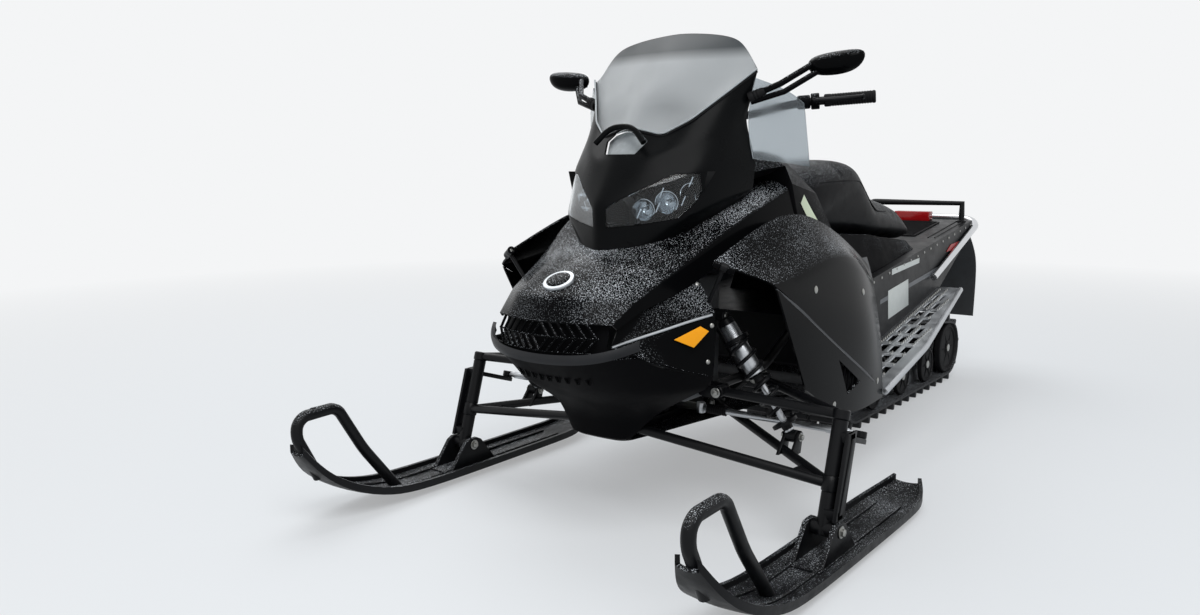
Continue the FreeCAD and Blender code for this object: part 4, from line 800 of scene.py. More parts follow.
def windshield():
    """Clear screen with its rubber seal and a rimed line along the pod."""
    sheet = moulded_sheet(full(WINDSHIELD), 0.004, [("r", 0, 1.0), ("c", 4, 0.25)])
    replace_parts(finish_piece(sheet, "windshield_sheet", screen_clear), "windshield")
    lower = [mm(*p) for p in full(WINDSHIELD)[0]]
    seal = bent_bar([p + Vector((0, -0.001, 0.002)) for p in lower], 0.003, 0.012, 4, 3)
    finish_piece(seal, "windshield_seal", grip_rubber)
    rim = bent_bar([p + Vector((0, -0.003, 0.0075)) for p in lower], 0.0022, 0.012, 4, 3)
    finish_piece(rim, "windshield_rim", rime_grey)


def deflectors():
    """Tinted side screen behind each shoulder of the mask."""
    left = both_sides(moulded_sheet(DEFLECTOR, -0.0035), "deflector", wing_clear)[0]
    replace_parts(left, "wind_deflectors")


def ring_part(radius, first, last, side, sides=24):
    """Round part on the hinge line between two distances along it."""
    start, along = mm(*HINGE[0]), Vector(HINGE[1]).normalized()
    a, b = start + along * first / 1000, start + along * last / 1000
    a.x, b.x = side * a.x, side * b.x
    share = 0.001 / (b - a).length
    r = radius / 1000
    return turned(a, b, [(0, r - 0.001), (share, r), (1 - share, r), (1, r - 0.001)], sides)


def side_panels():
    """Door panel with its pressed groove, its vent and two hinge rings a side."""
    doors = ("side_panel_left", "side_panel_right")
    panel = moulded_sheet(SIDE_PANEL, -0.0045, [("c", 1, 0.8), ("r", 0, 0.9), ("c", 0, 0.9)])
    groove = bent_bar([mm(*p) for p in [(404, -850, 588)] + PANEL_LINE + [(400, -230, 262)]], 0.0042, 0.03, 4, 3)
    snap_to(groove, panel)
    cut(panel, groove)
    cut(panel, side_slab([(-509, 372), (-360, 290), (-444, 273)], 380, 440, 0))
    rings = [ring_part(10, start, start + 16, 1) for start in (6, 38.6)]
    left, right = both_sides(joined([panel] + rings), "side_panel_shell", gloss_black, doors)
    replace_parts(left, "side_panel_left")
    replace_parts(right, "side_panel_right")
    vent = [side_slab([(-514, 378), (-350, 292), (-444, 266)], 394.5, 396, 0.0004)]
    for k in range(5):
        y = -490 + 27 * k
        vent.append(bar((401, y, 290 - 4 * k), (401, y + 12, 370 - 15 * k), 3.2, 8))
    both_sides(joined(vent), "panel_vent", matte_black, doors)
    rays = [((500, y, z), (-1, 0, 0)) for y, z in ((-640, 560), (-330, 520), (-200, 260), (-520, 260))]
    screws(left, rays, "panel_latches", doors, 0.009)
    # Grey strip laid in the pressed groove: a painted highlight of the groove
    line = bent_bar([mm(*p) for p in [(404, -838, 582)] + PANEL_LINE + [(400, -236, 265)]], 0.0024, 0.03, 4, 3)
    snap_to(line, left, 0.0008)
    both_sides(line, "panel_groove_highlight", grey_nylon_and_groove_highlight, doors)


def snap_to(tube, target, reach=0.0045):
    """Draws a thin tube into the skin of a piece: no point stays further from it than the reach."""
    for vertex in tube.data.vertices:
        near = target.closest_point_on_mesh(vertex.co)[1]
        away = (vertex.co - near).length
        if away > reach:
            vertex.co = near + (vertex.co - near) * (reach / away)


def hinge_parts():
    """Pin, middle ring and stay of each side panel's hinge."""
    for side, name in SIDES:
        finish_piece(ring_part(5, 6, 54.6, side, 16), f"hinge_pin_{name}", zinc_steel)
        middle = ring_part(10, 22.3, 38.3, side)
        start, along = mm(*HINGE[0]), Vector(HINGE[1]).normalized()
        eye = start + along * 0.0303
        foot = mm(262, -888, 544)
        stay = turned(Vector((side * eye.x, eye.y, eye.z)), Vector((side * foot.x, foot.y, foot.z)),
                      [(0, 0.005), (1, 0.005)], 12)
        finish_piece(joined([middle, stay]), f"hinge_eye_{name}", black_coat)


def fascia():
    """Panel between hood and belly with its screws, and a silver line along its crease that is a painted highlight."""
    creases = [("r", 1, 1.0), ("c", 0, 0.6), ("c", 2, 0.6), ("r", 0, 1.0), ("r", 2, 1.0)]
    left = both_sides(moulded_sheet(FASCIA, 0.0045, creases, 2), "fascia", gloss_black)[0]
    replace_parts(left, "side_fascia")
    rays = [((400, y, z), (-1, 0, 0)) for y, z in ((-915, 420), (-905, 500), (-880, 585))]
    screws(left, rays, "fascia_screws")
    # Silver bar along the fascia's crease: a painted highlight of its rounded edge
    out = Vector((0.75, -0.66, 0.1)).normalized()
    line = [(155, -1100, 467), (185, -1055, 482), (218, -1008, 496), (252, -954, 512), (282, -904, 524)]
    both_sides(bent_bar([mm(*p) + out * 0.0012 for p in line], 0.003, 0.02, 3, 3), "fascia_painted_highlight", silver_trim_and_edge_highlight)


def lip():
    """Thick satin lip under the grille."""
    rows = [[(x, y + 3, z - 11) for x, y, z in LIP], [(x, y - 2, z) for x, y, z in LIP],
            [(x, y + 3, z + 11) for x, y, z in LIP]]
    shape = moulded_sheet(full(rows), 0.008, [("r", 0, 0.5), ("r", 2, 0.5)])
    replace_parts(finish_piece(shape, "nose_lip", dark_satin), "front_bumper")


def screws(target, rays, name, body="chassis", radius=0.0055):
    """Pan-head screws where rays (origin in millimetres, direction) meet the left piece, and their mirror."""
    heads = []
    for origin, direction in rays:
        place, normal = surface_at(target, mm(*origin), direction)
        heads.append(turned(place - normal * 0.0005, place + normal * 0.0024,
                            [(0, radius), (0.4, radius), (0.8, radius * 0.8), (1, radius * 0.5)], 16))
    both_sides(joined(heads), name, zinc_steel, body)


def knee_panels():
    """Grey panel behind each side panel, wrapped round to the tunnel."""
    left = both_sides(moulded_sheet(KNEE, -0.0045), "knee_shell", grey_nylon_and_groove_highlight, smooth=50)[0]
    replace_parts(left, "knee_panels")


def belly():
    """Pan under the nose that rises to the lip."""
    shell = moulded_sheet(full(BELLY), 0.0045, [("r", 1, 0.6), ("r", 3, 0.5), ("r", 4, 1.0), ("r", 2, 0.3)])
    shell = finish_piece(shell, "belly_shell", matte_black)
    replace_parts(shell, "belly_pan")
    return shell


def grille_point(x, z):
    """Point in millimetres on the upper grille's bowed and leaning front."""
    return x, -1171 + 0.0019 * x * x + (z - 450) * 0.14, z


def grilles(belly_shell):
    """Upper opening with a lattice of slanted bars, and a lower opening with short chevrons."""
    back = moulded_sheet(full([[(0, -1170, 440), (92, -1148, 442), (146, -1112, 446)],
                               [(0, -1148, 522), (88, -1130, 521), (146, -1094, 518)]]), 0.003)
    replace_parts(finish_piece(back, "grille_back", matte_black), "grille")
    bars = []
    for z_low, z_high, lean in ((456, 486, 11), (487, 517, -11)):
        for x in range(-126, 127, 21):
            tip = lean if x > 0 else -lean
            bars.append(bar(grille_point(x - tip, z_low), grille_point(x + tip, z_high), 3.2, 6, 0.0005))
    for z in (455, 487, 518):
        line = [mm(*grille_point(x, z)) for x in (-142, -90, -40, 0, 40, 90, 142)]
        bars.append(bent_bar(line, 0.0022, 0.01, 2, 2))
    finish_piece(joined(bars), "grille_bars", gloss_black)
    low = []
    for x in range(-96, 97, 24):
        place, normal = surface_at(belly_shell, mm(x, -1400, 392), (0, 1, 0))
        for slant in (-1, 1):
            a = place + Vector((slant * 0.010, 0, 0.011)) + normal * 0.001
            b = place + Vector((slant * 0.002, 0.007, -0.013)) + normal * 0.001
            low.append(turned(a, b, [(0, 0.0028), (1, 0.0028)], 6))
    finish_piece(joined(low), "lower_grille_bars", gloss_black)


badge(hood())
pod()
lamp_insides()
windshield()
deflectors()
fascia()
hinge_parts()
side_panels()
lip()
knee_panels()
grilles(belly())
softened("side_reflectors", "side_lens", amber_lens, 0.0008)


# Seat, console and dash

def stuffed(obj, cap):
    """Padded form: remeshed, blown up a little as cloth, no point moving further than the cap."""
    modify(obj, "REMESH", mode="VOXEL", voxel_size=0.0075)
    start = [v.co.copy() for v in obj.data.vertices]
    cloth = obj.modifiers.new("cloth", "CLOTH")
    cloth.settings.quality = 5
    cloth.settings.mass = 0.3
    cloth.settings.use_pressure = True
    cloth.settings.uniform_pressure_force = 4.0
    cloth.settings.effector_weights.gravity = 0.0
    cloth.point_cache.frame_start = 1
    cloth.point_cache.frame_end = 20
    for step in range(1, 21):
        bpy.context.scene.frame_set(step)
    only(obj)
    bpy.ops.object.modifier_apply(modifier="cloth")
    bpy.context.scene.frame_set(1)
    for vertex, origin in zip(obj.data.vertices, start):
        move = vertex.co - origin
        if move.length > cap:
            vertex.co = origin + move * (cap / move.length)
    modify(obj, "SMOOTH", factor=0.5, iterations=4)
    return obj


# Saddle's sections: y, heights of its underside, widest line and top, and half widths there
SEAT = [
    (-58, 650, 735, 818, 98, 118, 70),
    (-52, 650, 736, 821, 104, 122, 74),
    (20, 650, 752, 840, 120, 142, 88),
    (150, 644, 752, 848, 140, 152, 100),
    (262, 634, 745, 846, 156, 162, 114),
    (330, 624, 690, 772, 160, 166, 110),
    (380, 618, 662, 728, 162, 166, 102),
    (640, 590, 650, 698, 156, 156, 86),
    (778, 586, 594, 604, 144, 144, 104),
]


def seat():
    """Padded saddle: higher front part with a step down to the low rear part."""
    rows = []
    for y, low, middle, top, low_half, middle_half, top_half in SEAT:
        half = [(low_half - 30, y, low), (low_half, y, low + 8), (middle_half, y, middle),
                (top_half + 14, y, top - 12), (top_half * 0.55, y, top + 2)]
        rows.append([(x, py, pz) for x, py, pz in half] + [(-x, py, pz) for x, py, pz in reversed(half)])
    body = lofted_body(rows)
    stuffed(body, 0.012)
    body = finish_piece(body, "saddle", seat_vinyl, smooth=60)
    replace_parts(body, "seat")
    return body


def seat_seams(saddle):
    """Piped seams: along each side under the top, and across at the step."""
    for side, name in SIDES:
        points = []
        for y, _, middle, top, *_ in SEAT[1:-1]:
            origin = mm(side * 400, y, middle + 0.45 * (top - middle))
            place, normal = surface_at(saddle, origin, (-side, 0, 0))
            points.append(place + normal * 0.0008)
        seam = bent_bar(points, 0.0024, 0.02, 3, 3)
        finish_piece(seam, f"saddle_piping_{name}", grip_rubber)
    across = []
    for x in (-128, -100, -66, -33, 0, 33, 66, 100, 128):
        place, normal = surface_at(saddle, mm(x, 318, 1100), (0, 0, -1))
        across.append(place + normal * 0.0006)
    finish_piece(bent_bar(across, 0.0022, 0.012, 2, 3), "saddle_cross_seam", grip_rubber)


def gauge():
    """Round instrument with a blank face and its ring of marks."""
    softened("gauge", "gauge_housing", matte_black, 0.003)
    facing = Vector((0, 0.8, 1)).normalized()
    back = mm(0, -575, 895) + facing * 0.024
    rim = turned(back - facing * 0.004, back + facing * 0.003, [(0, 0.047), (0.6, 0.048), (1, 0.044)], 48)
    finish_piece(rim, "gauge_rim", gloss_black)
    glass = turned(back + facing * 0.002, back + facing * 0.0042, [(0, 0.042), (0.7, 0.041), (1, 0.036)], 48)
    finish_piece(glass, "gauge_glass", gloss_black)
    marks = []
    across, up = Vector((1, 0, 0)), facing.cross(Vector((1, 0, 0)))
    for k in range(13):
        turn = math.radians(225 - 22.5 * k)
        out = across * math.cos(turn) + up * math.sin(turn)
        mark = block((-0.0007, -0.0035, 0), (0.0007, 0.0035, 0.0006))
        along = facing.cross(out)
        mark.data.transform(Matrix.Translation(back + facing * 0.0036 + out * 0.031)
                            @ Matrix((along, out, facing)).transposed().to_4x4())
        marks.append(mark)
    finish_piece(joined(marks), "gauge_marks", blank_label)


def console_label(shell):
    """Blank pale-green label on the console's left flank, bent over its skin."""
    middle_line = [(400, -438 + 13 * k, 760 - 22 * k) for k in range(4)]
    band = strip_on(shell, middle_line, (-1, 0, 0), 0.022, 0.0006, 0.0006)
    finish_piece(band, "console_label", green_label)


seat_seams(seat())
softened("fuel_tank", "fuel_tank_shell", matte_black, 0.01, angle=20)
console_label(softened("console", "console_shell", matte_black, 0.012, angle=20))
gauge()


# Front suspension and steering

# Left kingpin's direction, its ball joints, the shock's eyes and the height of the ski's bolt
KING = Vector((0, math.sin(KING_LEAN), math.cos(KING_LEAN)))
LOW_BALL, HIGH_BALL = (540, -836, 172), (540, -790.1, 315)
SHOCK_TOP, SHOCK_LOW = (225, -764, 500), (395, -725, 228)
SKI_BOLT_Z = 82


def king_point(z):
    """Point of the left kingpin's axis at a height in millimetres."""
    x, y, low = LOW_BALL
    return mm(x, y + (z - low) * math.tan(KING_LEAN), z)


def plate_between(corners, thick, bevel=0.001):
    """Flat plate through corner points in metres, thickened to both sides."""
    obj = outlined(corners)
    modify(obj, "SOLIDIFY", thickness=thick, offset=0)
    face_out(obj)
    return rounded(obj, bevel)


def ball_housing(point, half, radius):
    """Ring about the kingpin axis with a rolled edge."""
    a, b = point - KING * half / 1000, point + KING * half / 1000
    r = radius / 1000
    return turned(a, b, [(0, r - 0.003), (0.12, r), (0.88, r), (1, r - 0.003)], 32)


ARM_ROOTS = {"lower": ((60, -920, 243), (110, -590, 243)), "upper": ((238, -785, 324), (238, -600, 324))}


def arm_parts(front, rear, ball, half, web):
    """A-arm: two legs to a ball's housing, a sleeve at each root and a web between the legs."""
    parts = [bar(front, ball, 11), bar(rear, ball, 11), ball_housing(mm(*ball), half, 19)]
    parts += [bar((x, y - 18, z), (x, y + 18, z), 14) for x, y, z in (front, rear)]
    reach = [mm(*ball) + (mm(*end) - mm(*ball)) * share for end in (front, rear) for share in web]
    return parts + [plate_between([reach[0], reach[1], reach[3], reach[2]], 0.005)]


def arms():
    """Lower arm with the shock's ears, upper arm, and the bolts at their roots."""
    eye_x, eye_y, eye_z = SHOCK_LOW
    ear = [(eye_y - 14, eye_z - 2), (eye_y - 8, eye_z + 10), (eye_y + 4, eye_z + 14), (eye_y + 13, eye_z + 6),
           (eye_y + 2, 190), (eye_y - 45, 190)]
    parts = arm_parts(*ARM_ROOTS["lower"], LOW_BALL, 18, (0.06, 0.2))
    parts += [side_slab(ear, eye_x + off, eye_x + off + 8, 0.0008) for off in (-20.3, 12.3)]
    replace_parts(both_sides(joined(parts), "lower_arm", black_coat)[0], "lower_arms")
    parts = arm_parts(*ARM_ROOTS["upper"], HIGH_BALL, 12, (0.08, 0.3))
    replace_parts(both_sides(joined(parts), "upper_arm", black_coat)[0], "upper_arms")
    bolts = []
    for x, y, z in ARM_ROOTS["lower"] + ARM_ROOTS["upper"]:
        bolts += [hex_head(mm(x, y + way * 25.5, z), Vector((0, way, 0)), 0.008) for way in (-1, 1)]
    bolts += [hex_head(mm(eye_x + way * 20.3, eye_y, eye_z), Vector((way, 0, 0)), 0.007) for way in (-1, 1)]
    both_sides(joined(bolts), "arm_bolts", zinc_steel)


def shock_part(stations, sides=32):
    """Round part on the left shock's line: (distance from the top eye, radius) in millimetres."""
    top, low = mm(*SHOCK_TOP), mm(*SHOCK_LOW)
    along = (low - top).normalized()
    a, b = top + along * stations[0][0] / 1000, top + along * stations[-1][0] / 1000
    length = stations[-1][0] - stations[0][0]
    profile = [((s - stations[0][0]) / length, r / 1000) for s, r in stations]
    return turned(a, b, profile, sides)


def shocks():
    """Damper on each side: bright body with its fins, black caps, bump stop and pins."""
    body = [shock_part([(26, 17), (28, 19), (60, 19), (62, 20.2), (148, 20.2), (150, 19)]),
            shock_part([(150, 20.5), (151, 21.5), (158, 21.5), (159, 20.5)]),
            shock_part([(140, 8), (305, 8)], 20), shock_part([(298, 10), (300, 12), (309, 12), (311, 9)], 24)]
    body += [shock_part([(s, 18.6), (s + 0.8, 19.9), (s + 1.8, 19.9), (s + 2.6, 18.6)]) for s in range(32, 60, 4)]
    caps = [bar((x - 12, y, z), (x + 12, y, z), 15, 28) for x, y, z in (SHOCK_TOP, SHOCK_LOW)]
    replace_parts(both_sides(joined(body), "shock_body", rolled_aluminium)[0], "shocks")
    caps += [shock_part([(10, 13), (14, 18), (25, 20), (26.5, 18)]),
             shock_part([(62, 27), (63, 31), (71, 31), (72, 24)]),
             shock_part([(73, 24), (74, 27), (76, 27), (77, 22)]),
             shock_part([(283, 24), (284, 31), (292, 31), (293, 20)]), shock_part([(293, 14), (305, 12)])]
    both_sides(joined(caps), "shock_caps", black_coat)
    stop = shock_part([(160, 11), (164, 14), (170, 12), (176, 14), (182, 11), (186, 9)])
    both_sides(stop, "shock_bump_stop", grip_rubber)
    pins = [bar((x - 13.5, y, z), (x + 13.5, y, z), 7) for x, y, z in (SHOCK_TOP, SHOCK_LOW)]
    both_sides(joined(pins), "shock_pins", zinc_steel)


def springs():
    """Coil of six turns between the spring seats of each shock."""
    top, low = mm(*SHOCK_TOP), mm(*SHOCK_LOW)
    along = (low - top).normalized()
    across = along.cross(Vector((0, 1, 0))).normalized()
    other = along.cross(across)
    start, end, turns, steps = 0.0768, 0.2782, 6, 20
    line = []
    for k in range(turns * steps + 1):
        turn = 2 * math.pi * k / steps
        share = k / (turns * steps)
        out = across * math.cos(turn) + other * math.sin(turn)
        line.append(top + along * (start + (end - start) * share) + out * 0.025)
    coil = both_sides(bent_bar(line, 0.0045, 0, 1, 3), "shock_spring", black_coat, smooth=60)[0]
    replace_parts(coil, "springs")


def tie_rods():
    """Steering link across the machine, and on each side a tie rod with its boot and its eye at the spindle."""
    eye = king_point(270) + Vector((0, KING.z, -KING.y)) * 0.126 + KING * 0.0063
    middle = eye + KING * 0.008
    inner = Vector((0.12, middle.y, 0.245))
    run = (middle - inner).normalized()
    half = Vector((0, 0, 0.013))
    rod = [(0, 0.0075), (0.05, 0.008), (0.8, 0.008), (0.81, 0.0095), (0.93, 0.0095), (0.94, 0.007), (1, 0.007)]
    parts = [turned(inner, middle, rod, 20),
             turned(inner - half, inner + half, [(0, 0.011), (0.1, 0.012), (0.9, 0.012), (1, 0.011)], 24)]
    link = bar((-120, middle.y * 1000, 245), (120, middle.y * 1000, 245), 10)
    finish_piece(link, "steering_link", zinc_steel, "steering_rack")
    rods = both_sides(joined(parts), "tie_rod", rolled_aluminium, "steering_rack")[0]
    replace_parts(rods, "tie_rods")
    ring = turned(eye, eye + KING * 0.016, [(0, 0.0125), (0.1, 0.014), (0.9, 0.014), (1, 0.0125)], 28)
    both_sides(ring, "tie_rod_eye", black_coat, "steering_rack")
    folds = []
    for k in range(9):
        folds += [(k / 9, 0.0095), ((k + 0.5) / 9, 0.0125)]
    boot = turned(inner + run * 0.02, inner + run * 0.075, folds + [(1, 0.009)], 24)
    both_sides(boot, "tie_rod_boot", grip_rubber, "steering_rack")


SPINDLES = ("spindle_left", "spindle_right")


def spindles():
    """Leaning leg between the two ball joints, its steering arm behind, its web outside and the ski's bolt below."""
    lower, upper = mm(*LOW_BALL) + KING * 0.0183, mm(*HIGH_BALL) - KING * 0.0123
    parts = [turned(lower, upper, [(0, 0.017), (1, 0.017)], 32)]
    root, back, x = king_point(270), Vector((0, KING.z, -KING.y)), Vector((0.015, 0, 0))
    end = root + back * 0.14
    round_end = [(end - back * 0.015, 1), (end - back * 0.004, 0.8), (end, 0.3)]
    arm = [root - x, root + x] + [p + x * s for p, s in round_end] + [p - x * s for p, s in reversed(round_end)]
    parts.append(plate_between(arm, 0.012, 0.0015))
    bolt, leg_top = king_point(SKI_BOLT_Z), mm(*LOW_BALL) - KING * 0.0183
    parts.append(turned(bolt - KING * 0.014, leg_top, [(0, 0.015), (0.1, 0.017), (1, 0.017)], 32))
    low_y, high_y = king_point(104).y * 1000, king_point(282).y * 1000
    parts.append(side_slab([(low_y - 22, 104), (low_y + 22, 104), (high_y + 22, 282), (high_y - 22, 282)], 564, 573,
                           0.0015))
    parts.append(side_slab([(low_y - 8, 116), (low_y + 8, 116), (high_y + 8, 270), (high_y - 8, 270)], 572.5, 575.5,
                           0.0012))
    parts.append(block(mm(540, high_y - 15, 260), mm(573, high_y + 12, 282), 0.002))
    parts.append(block(mm(540, low_y - 14, 104), mm(573, low_y + 14, 126), 0.002))
    bolt_y = bolt.y * 1000
    parts.append(bar((514, bolt_y, SKI_BOLT_Z), (566, bolt_y, SKI_BOLT_Z), 17))
    left, right = both_sides(joined(parts), "spindle_leg", black_coat, SPINDLES)
    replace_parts(left, "spindle_left")
    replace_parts(right, "spindle_right")
    heads = [hex_head(mm(540 + way * 40, bolt_y, SKI_BOLT_Z), Vector((way, 0, 0)), 0.009) for way in (-1, 1)]
    heads.append(bar((503, bolt_y, SKI_BOLT_Z), (577, bolt_y, SKI_BOLT_Z), 6))
    both_sides(joined(heads), "ski_bolt", zinc_steel, SPINDLES)


# Ski's sections from its tail: y, height of its sole, half width
SKI = [(-364, 40, 36), (-424, 16, 65), (-494, 14, 72.5), (-800, 14, 72.5), (-1080, 14, 72.5), (-1190, 28, 72.5),
       (-1290, 64, 66.5), (-1364, 112, 52), (-1408, 178, 25)]


def skis():
    """Ski with its turned-up rim, ribs, loop, saddle plates and wear bar; both ride on the spindles."""
    x = 540
    rows = [[(x - half, y, low + 24), (x - half, y, low + 4), (x - half * 0.55, y, low), (x, y, low - 1.5),
             (x + half * 0.55, y, low), (x + half, y, low + 4), (x + half, y, low + 24)] for y, low, half in SKI]
    deck = moulded_sheet(rows, 0.009, [("c", 1, 0.75), ("c", 5, 0.75), ("r", 0, 1.0), ("r", 8, 0.7)], 2)
    face_out(deck)
    ribs = [bent_bar([mm(x + off, y, low + 12) for y, low, half in SKI[2:7]], 0.004, 0.05, 4, 3) for off in (-30, 30)]
    loop = [(-1350, 112), (-1410, 228), (-1395, 268), (-1290, 272), (-1215, 150), (-1110, 20)]
    loop = bent_bar([mm(x, y, z) for y, z in loop], 0.014, 0.045, 6, 5)
    pad = bent_bar([mm(x, -1362, 279), mm(x, -1305, 279)], 0.006, 0, 1, 3)
    bolt_y = king_point(SKI_BOLT_Z).y * 1000
    ear = [(bolt_y - 90, 18), (bolt_y - 30, 92), (bolt_y - 14, 100), (bolt_y + 14, 100), (bolt_y + 30, 92),
           (bolt_y + 90, 18)]
    ears = [side_slab(ear, near, near + 11.7, 0.0015) for near in (502, 566.3)]
    base = block(mm(500, bolt_y - 100, 20), mm(580, bolt_y + 100, 27), 0.002)
    left, right = both_sides(joined([deck, loop, pad, base] + ribs + ears), "ski_blade", ski_plastic, SPINDLES)
    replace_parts(left, "ski_left")
    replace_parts(right, "ski_right")
    keel = side_slab([(-1075, 14), (-1060, 8), (-560, 8), (-545, 14)], x - 4, x + 4, 0.0006)
    wear = [(-1060, 8), (-1000, 5), (-620, 5), (-560, 8)]
    wear = bent_bar([mm(x, y, z) for y, z in wear], 0.005, 0.03, 3, 4)
    left, right = both_sides(joined([keel, wear]), "ski_wear_bar", zinc_steel, SPINDLES)
    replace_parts(left, "ski_runner_left")
    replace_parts(right, "ski_runner_right")


# Left half of the handlebar's line from its end inwards; the last point is the top of the steering post
BAR = [(365, -240, 1021), (175, -323, 1008), (60, -385, 972)]
CAP_PLACE = (0, -377, 990)


def post_point(z):
    """Point of the steering post's axis at a height in millimetres."""
    return mm(0, BAR[2][1] - (BAR[2][2] - z) * math.tan(POST_LEAN), z)


def handlebar():
    """Bent bar on the steering post, held by two clamp rings and a cap with four bolts."""
    path = [mm(*p) for p in BAR] + [mm(-x, y, z) for x, y, z in reversed(BAR)]
    parts = [bent_bar(path, 0.011, 0.06, 8, 5),
             turned(post_point(300), post_point(972), [(0, 0.014), (0.01, 0.015), (1, 0.015)], 28)]
    parts += [bar((x, -385, 972), (x + 21, -385, 972), 24, 32) for x in (-34, 13)]
    place = Matrix.Translation(mm(*CAP_PLACE)) @ Matrix.Rotation(-POST_LEAN, 4, "X")
    cap = block((-0.03, -0.02, -0.006), (0.03, 0.02, 0.01), 0.003)
    cap.data.transform(place)
    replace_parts(finish_piece(joined(parts + [cap]), "handlebar_tube", black_coat, "handlebar"), "handlebar")
    up = Vector((0, math.sin(POST_LEAN), math.cos(POST_LEAN)))
    heads = [hex_head(place @ mm(x, y, 10), up, 0.005, False) for x in (-20, 20) for y in (-12, 12)]
    finish_piece(joined(heads), "clamp_bolts", zinc_steel, "handlebar")


def hand_controls():
    """Lever with its perch, and ribbed grip, on each end of the bar."""
    end, knee = mm(*BAR[0]), mm(*BAR[1])
    along = (end - knee).normalized()
    ahead = along.cross(Vector((0, 0, 1))).normalized()
    if ahead.y > 0:
        ahead = -ahead
    perch = end - along * 0.159
    pivot = perch + along * 0.011 + ahead * 0.034
    clamp = [turned(perch, perch + along * 0.022, [(0, 0.019), (0.08, 0.021), (0.92, 0.021), (1, 0.019)], 32),
             turned(perch + along * 0.011, pivot + ahead * 0.004, [(0, 0.009), (0.9, 0.008), (1, 0.006)], 16),
             turned(perch - along * 0.036, perch - along * 0.002, [(0, 0.015), (0.1, 0.018), (0.9, 0.018), (1, 0.016)],
                    24)]
    both_sides(joined(clamp), "lever_perch", matte_black, "handlebar")
    line = [pivot + along * out + ahead * fore for out, fore in ((-0.004, 0), (0.02, 0.003), (0.07, -0.002),
                                                                 (0.105, 0.001), (0.122, 0.006))]
    blade = bent_bar(line, 0.0058, 0.012, 4, 4)
    tip = turned(line[-1] - along * 0.004, line[-1] + along * 0.004, [(0, 0.005), (0.5, 0.0075), (1, 0.005)], 16)
    both_sides(joined([blade, tip]), "lever_blade", black_coat, "handlebar")
    grip = [(0, 0.0145), (0.02, 0.0165), (0.05, 0.0165)]
    for k in range(16):
        at = 0.07 + 0.052 * k
        grip += [(at, 0.0152), (at + 0.012, 0.0152), (at + 0.018, 0.0164), (at + 0.042, 0.0164)]
    grip += [(0.94, 0.0165), (0.98, 0.0165), (1, 0.0145)]
    sleeve = turned(end + along * 0.006, end - along * 0.125, grip, 28)
    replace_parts(both_sides(sleeve, "grip_sleeve", grip_rubber, "handlebar")[0], "grips")


def mirrors():
    """Mirror on two prongs from the pod's shoulder: tapering shell, glass on its rear face and a ribbed foot."""
    x, y, z = 395, -550, 1077
    face = [(-66, -18), (-20, -26), (36, -22), (70, -4), (80, 32), (28, 32), (-30, 27), (-70, 16)]
    rings = [[(x + wide * a, y + off, z + tall * b) for a, b in face]
             for off, wide, tall in ((1, 0.93, 0.93), (-1, 1, 1), (-10, 1, 1), (-25, 0.8, 0.78), (-34, 0.38, 0.4))]
    prongs = [bent_bar([mm(229, -652, 1006), mm(296, -631, 1034), mm(346, -566, 1080)], 0.0075, 0.02, 4, 4),
              bent_bar([mm(231, -651, 994), mm(304, -626, 1016), mm(362, -566, 1064)], 0.0068, 0.02, 4, 4)]
    boot = [(0, 0.013), (0.2, 0.0135), (0.3, 0.0115), (0.4, 0.013), (0.5, 0.0112), (0.6, 0.0124), (0.7, 0.0108),
            (0.8, 0.0115), (1, 0.0085)]
    foot = turned(mm(227, -652, 1003), mm(262, -641, 1019), boot, 24)
    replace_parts(both_sides(joined([lofted_body(rings)] + prongs), "mirror_shell", gloss_black)[0], "mirrors")
    both_sides(foot, "mirror_boot", grip_rubber)
    glass = plate_between([mm(x + 0.86 * a, y + 0.9, z + 0.84 * b) for a, b in face], 0.0015, 0.0004)
    both_sides(glass, "mirror_glass", chromed_steel)


arms()
shocks()
springs()
tie_rods()
spindles()
skis()
handlebar()
hand_controls()
mirrors()
softened("front_frame", "frame_tubes", black_coat, 0.0015)


# Track, its wheels, and the rear end

# Circles that carry the belt's inner side: y, z, radius; then the track's half width and its count of lugs
WHEELS = [(165, 155, 120), (1052, 132, 97), (-150, 300, 88)]
TRACK_HALF, LUG_COUNT = 190.5, 42


def belt_line():
    """Runs and arcs of the belt's inner side: kind, length, two places, angle of the outward normal."""
    runs = []
    for (y1, z1, r1), (y2, z2, r2) in zip(WHEELS, WHEELS[1:] + WHEELS[:1]):
        length = math.hypot(y2 - y1, z2 - z1)
        normal = math.atan2(z2 - z1, y2 - y1) - math.acos((r1 - r2) / length)
        start = (y1 + r1 * math.cos(normal), z1 + r1 * math.sin(normal))
        runs.append((start, (y2 + r2 * math.cos(normal), z2 + r2 * math.sin(normal)), normal))
    line = []
    for k, (start, end, normal) in enumerate(runs):
        line.append(("run", math.dist(start, end), start, end, normal))
        y, z, radius = WHEELS[(k + 1) % 3]
        turn = (runs[(k + 1) % 3][2] - normal) % (2 * math.pi)
        line.append(("arc", radius * turn, (y, z), radius, normal))
    return line


def belt_place(line, distance):
    """Point, outward normal and running direction at a distance along the belt's inner side."""
    distance %= sum(piece[1] for piece in line)
    for kind, length, first, second, normal in line:
        if distance <= length:
            break
        distance -= length
    if kind == "arc":
        normal += distance / second
        point = (first[0] + second * math.cos(normal), first[1] + second * math.sin(normal))
    else:
        share = distance / length
        point = tuple(a + share * (b - a) for a, b in zip(first, second))
    out = Vector((0, math.cos(normal), math.sin(normal)))
    return mm(0, *point), out, Vector((0, -math.sin(normal), math.cos(normal)))


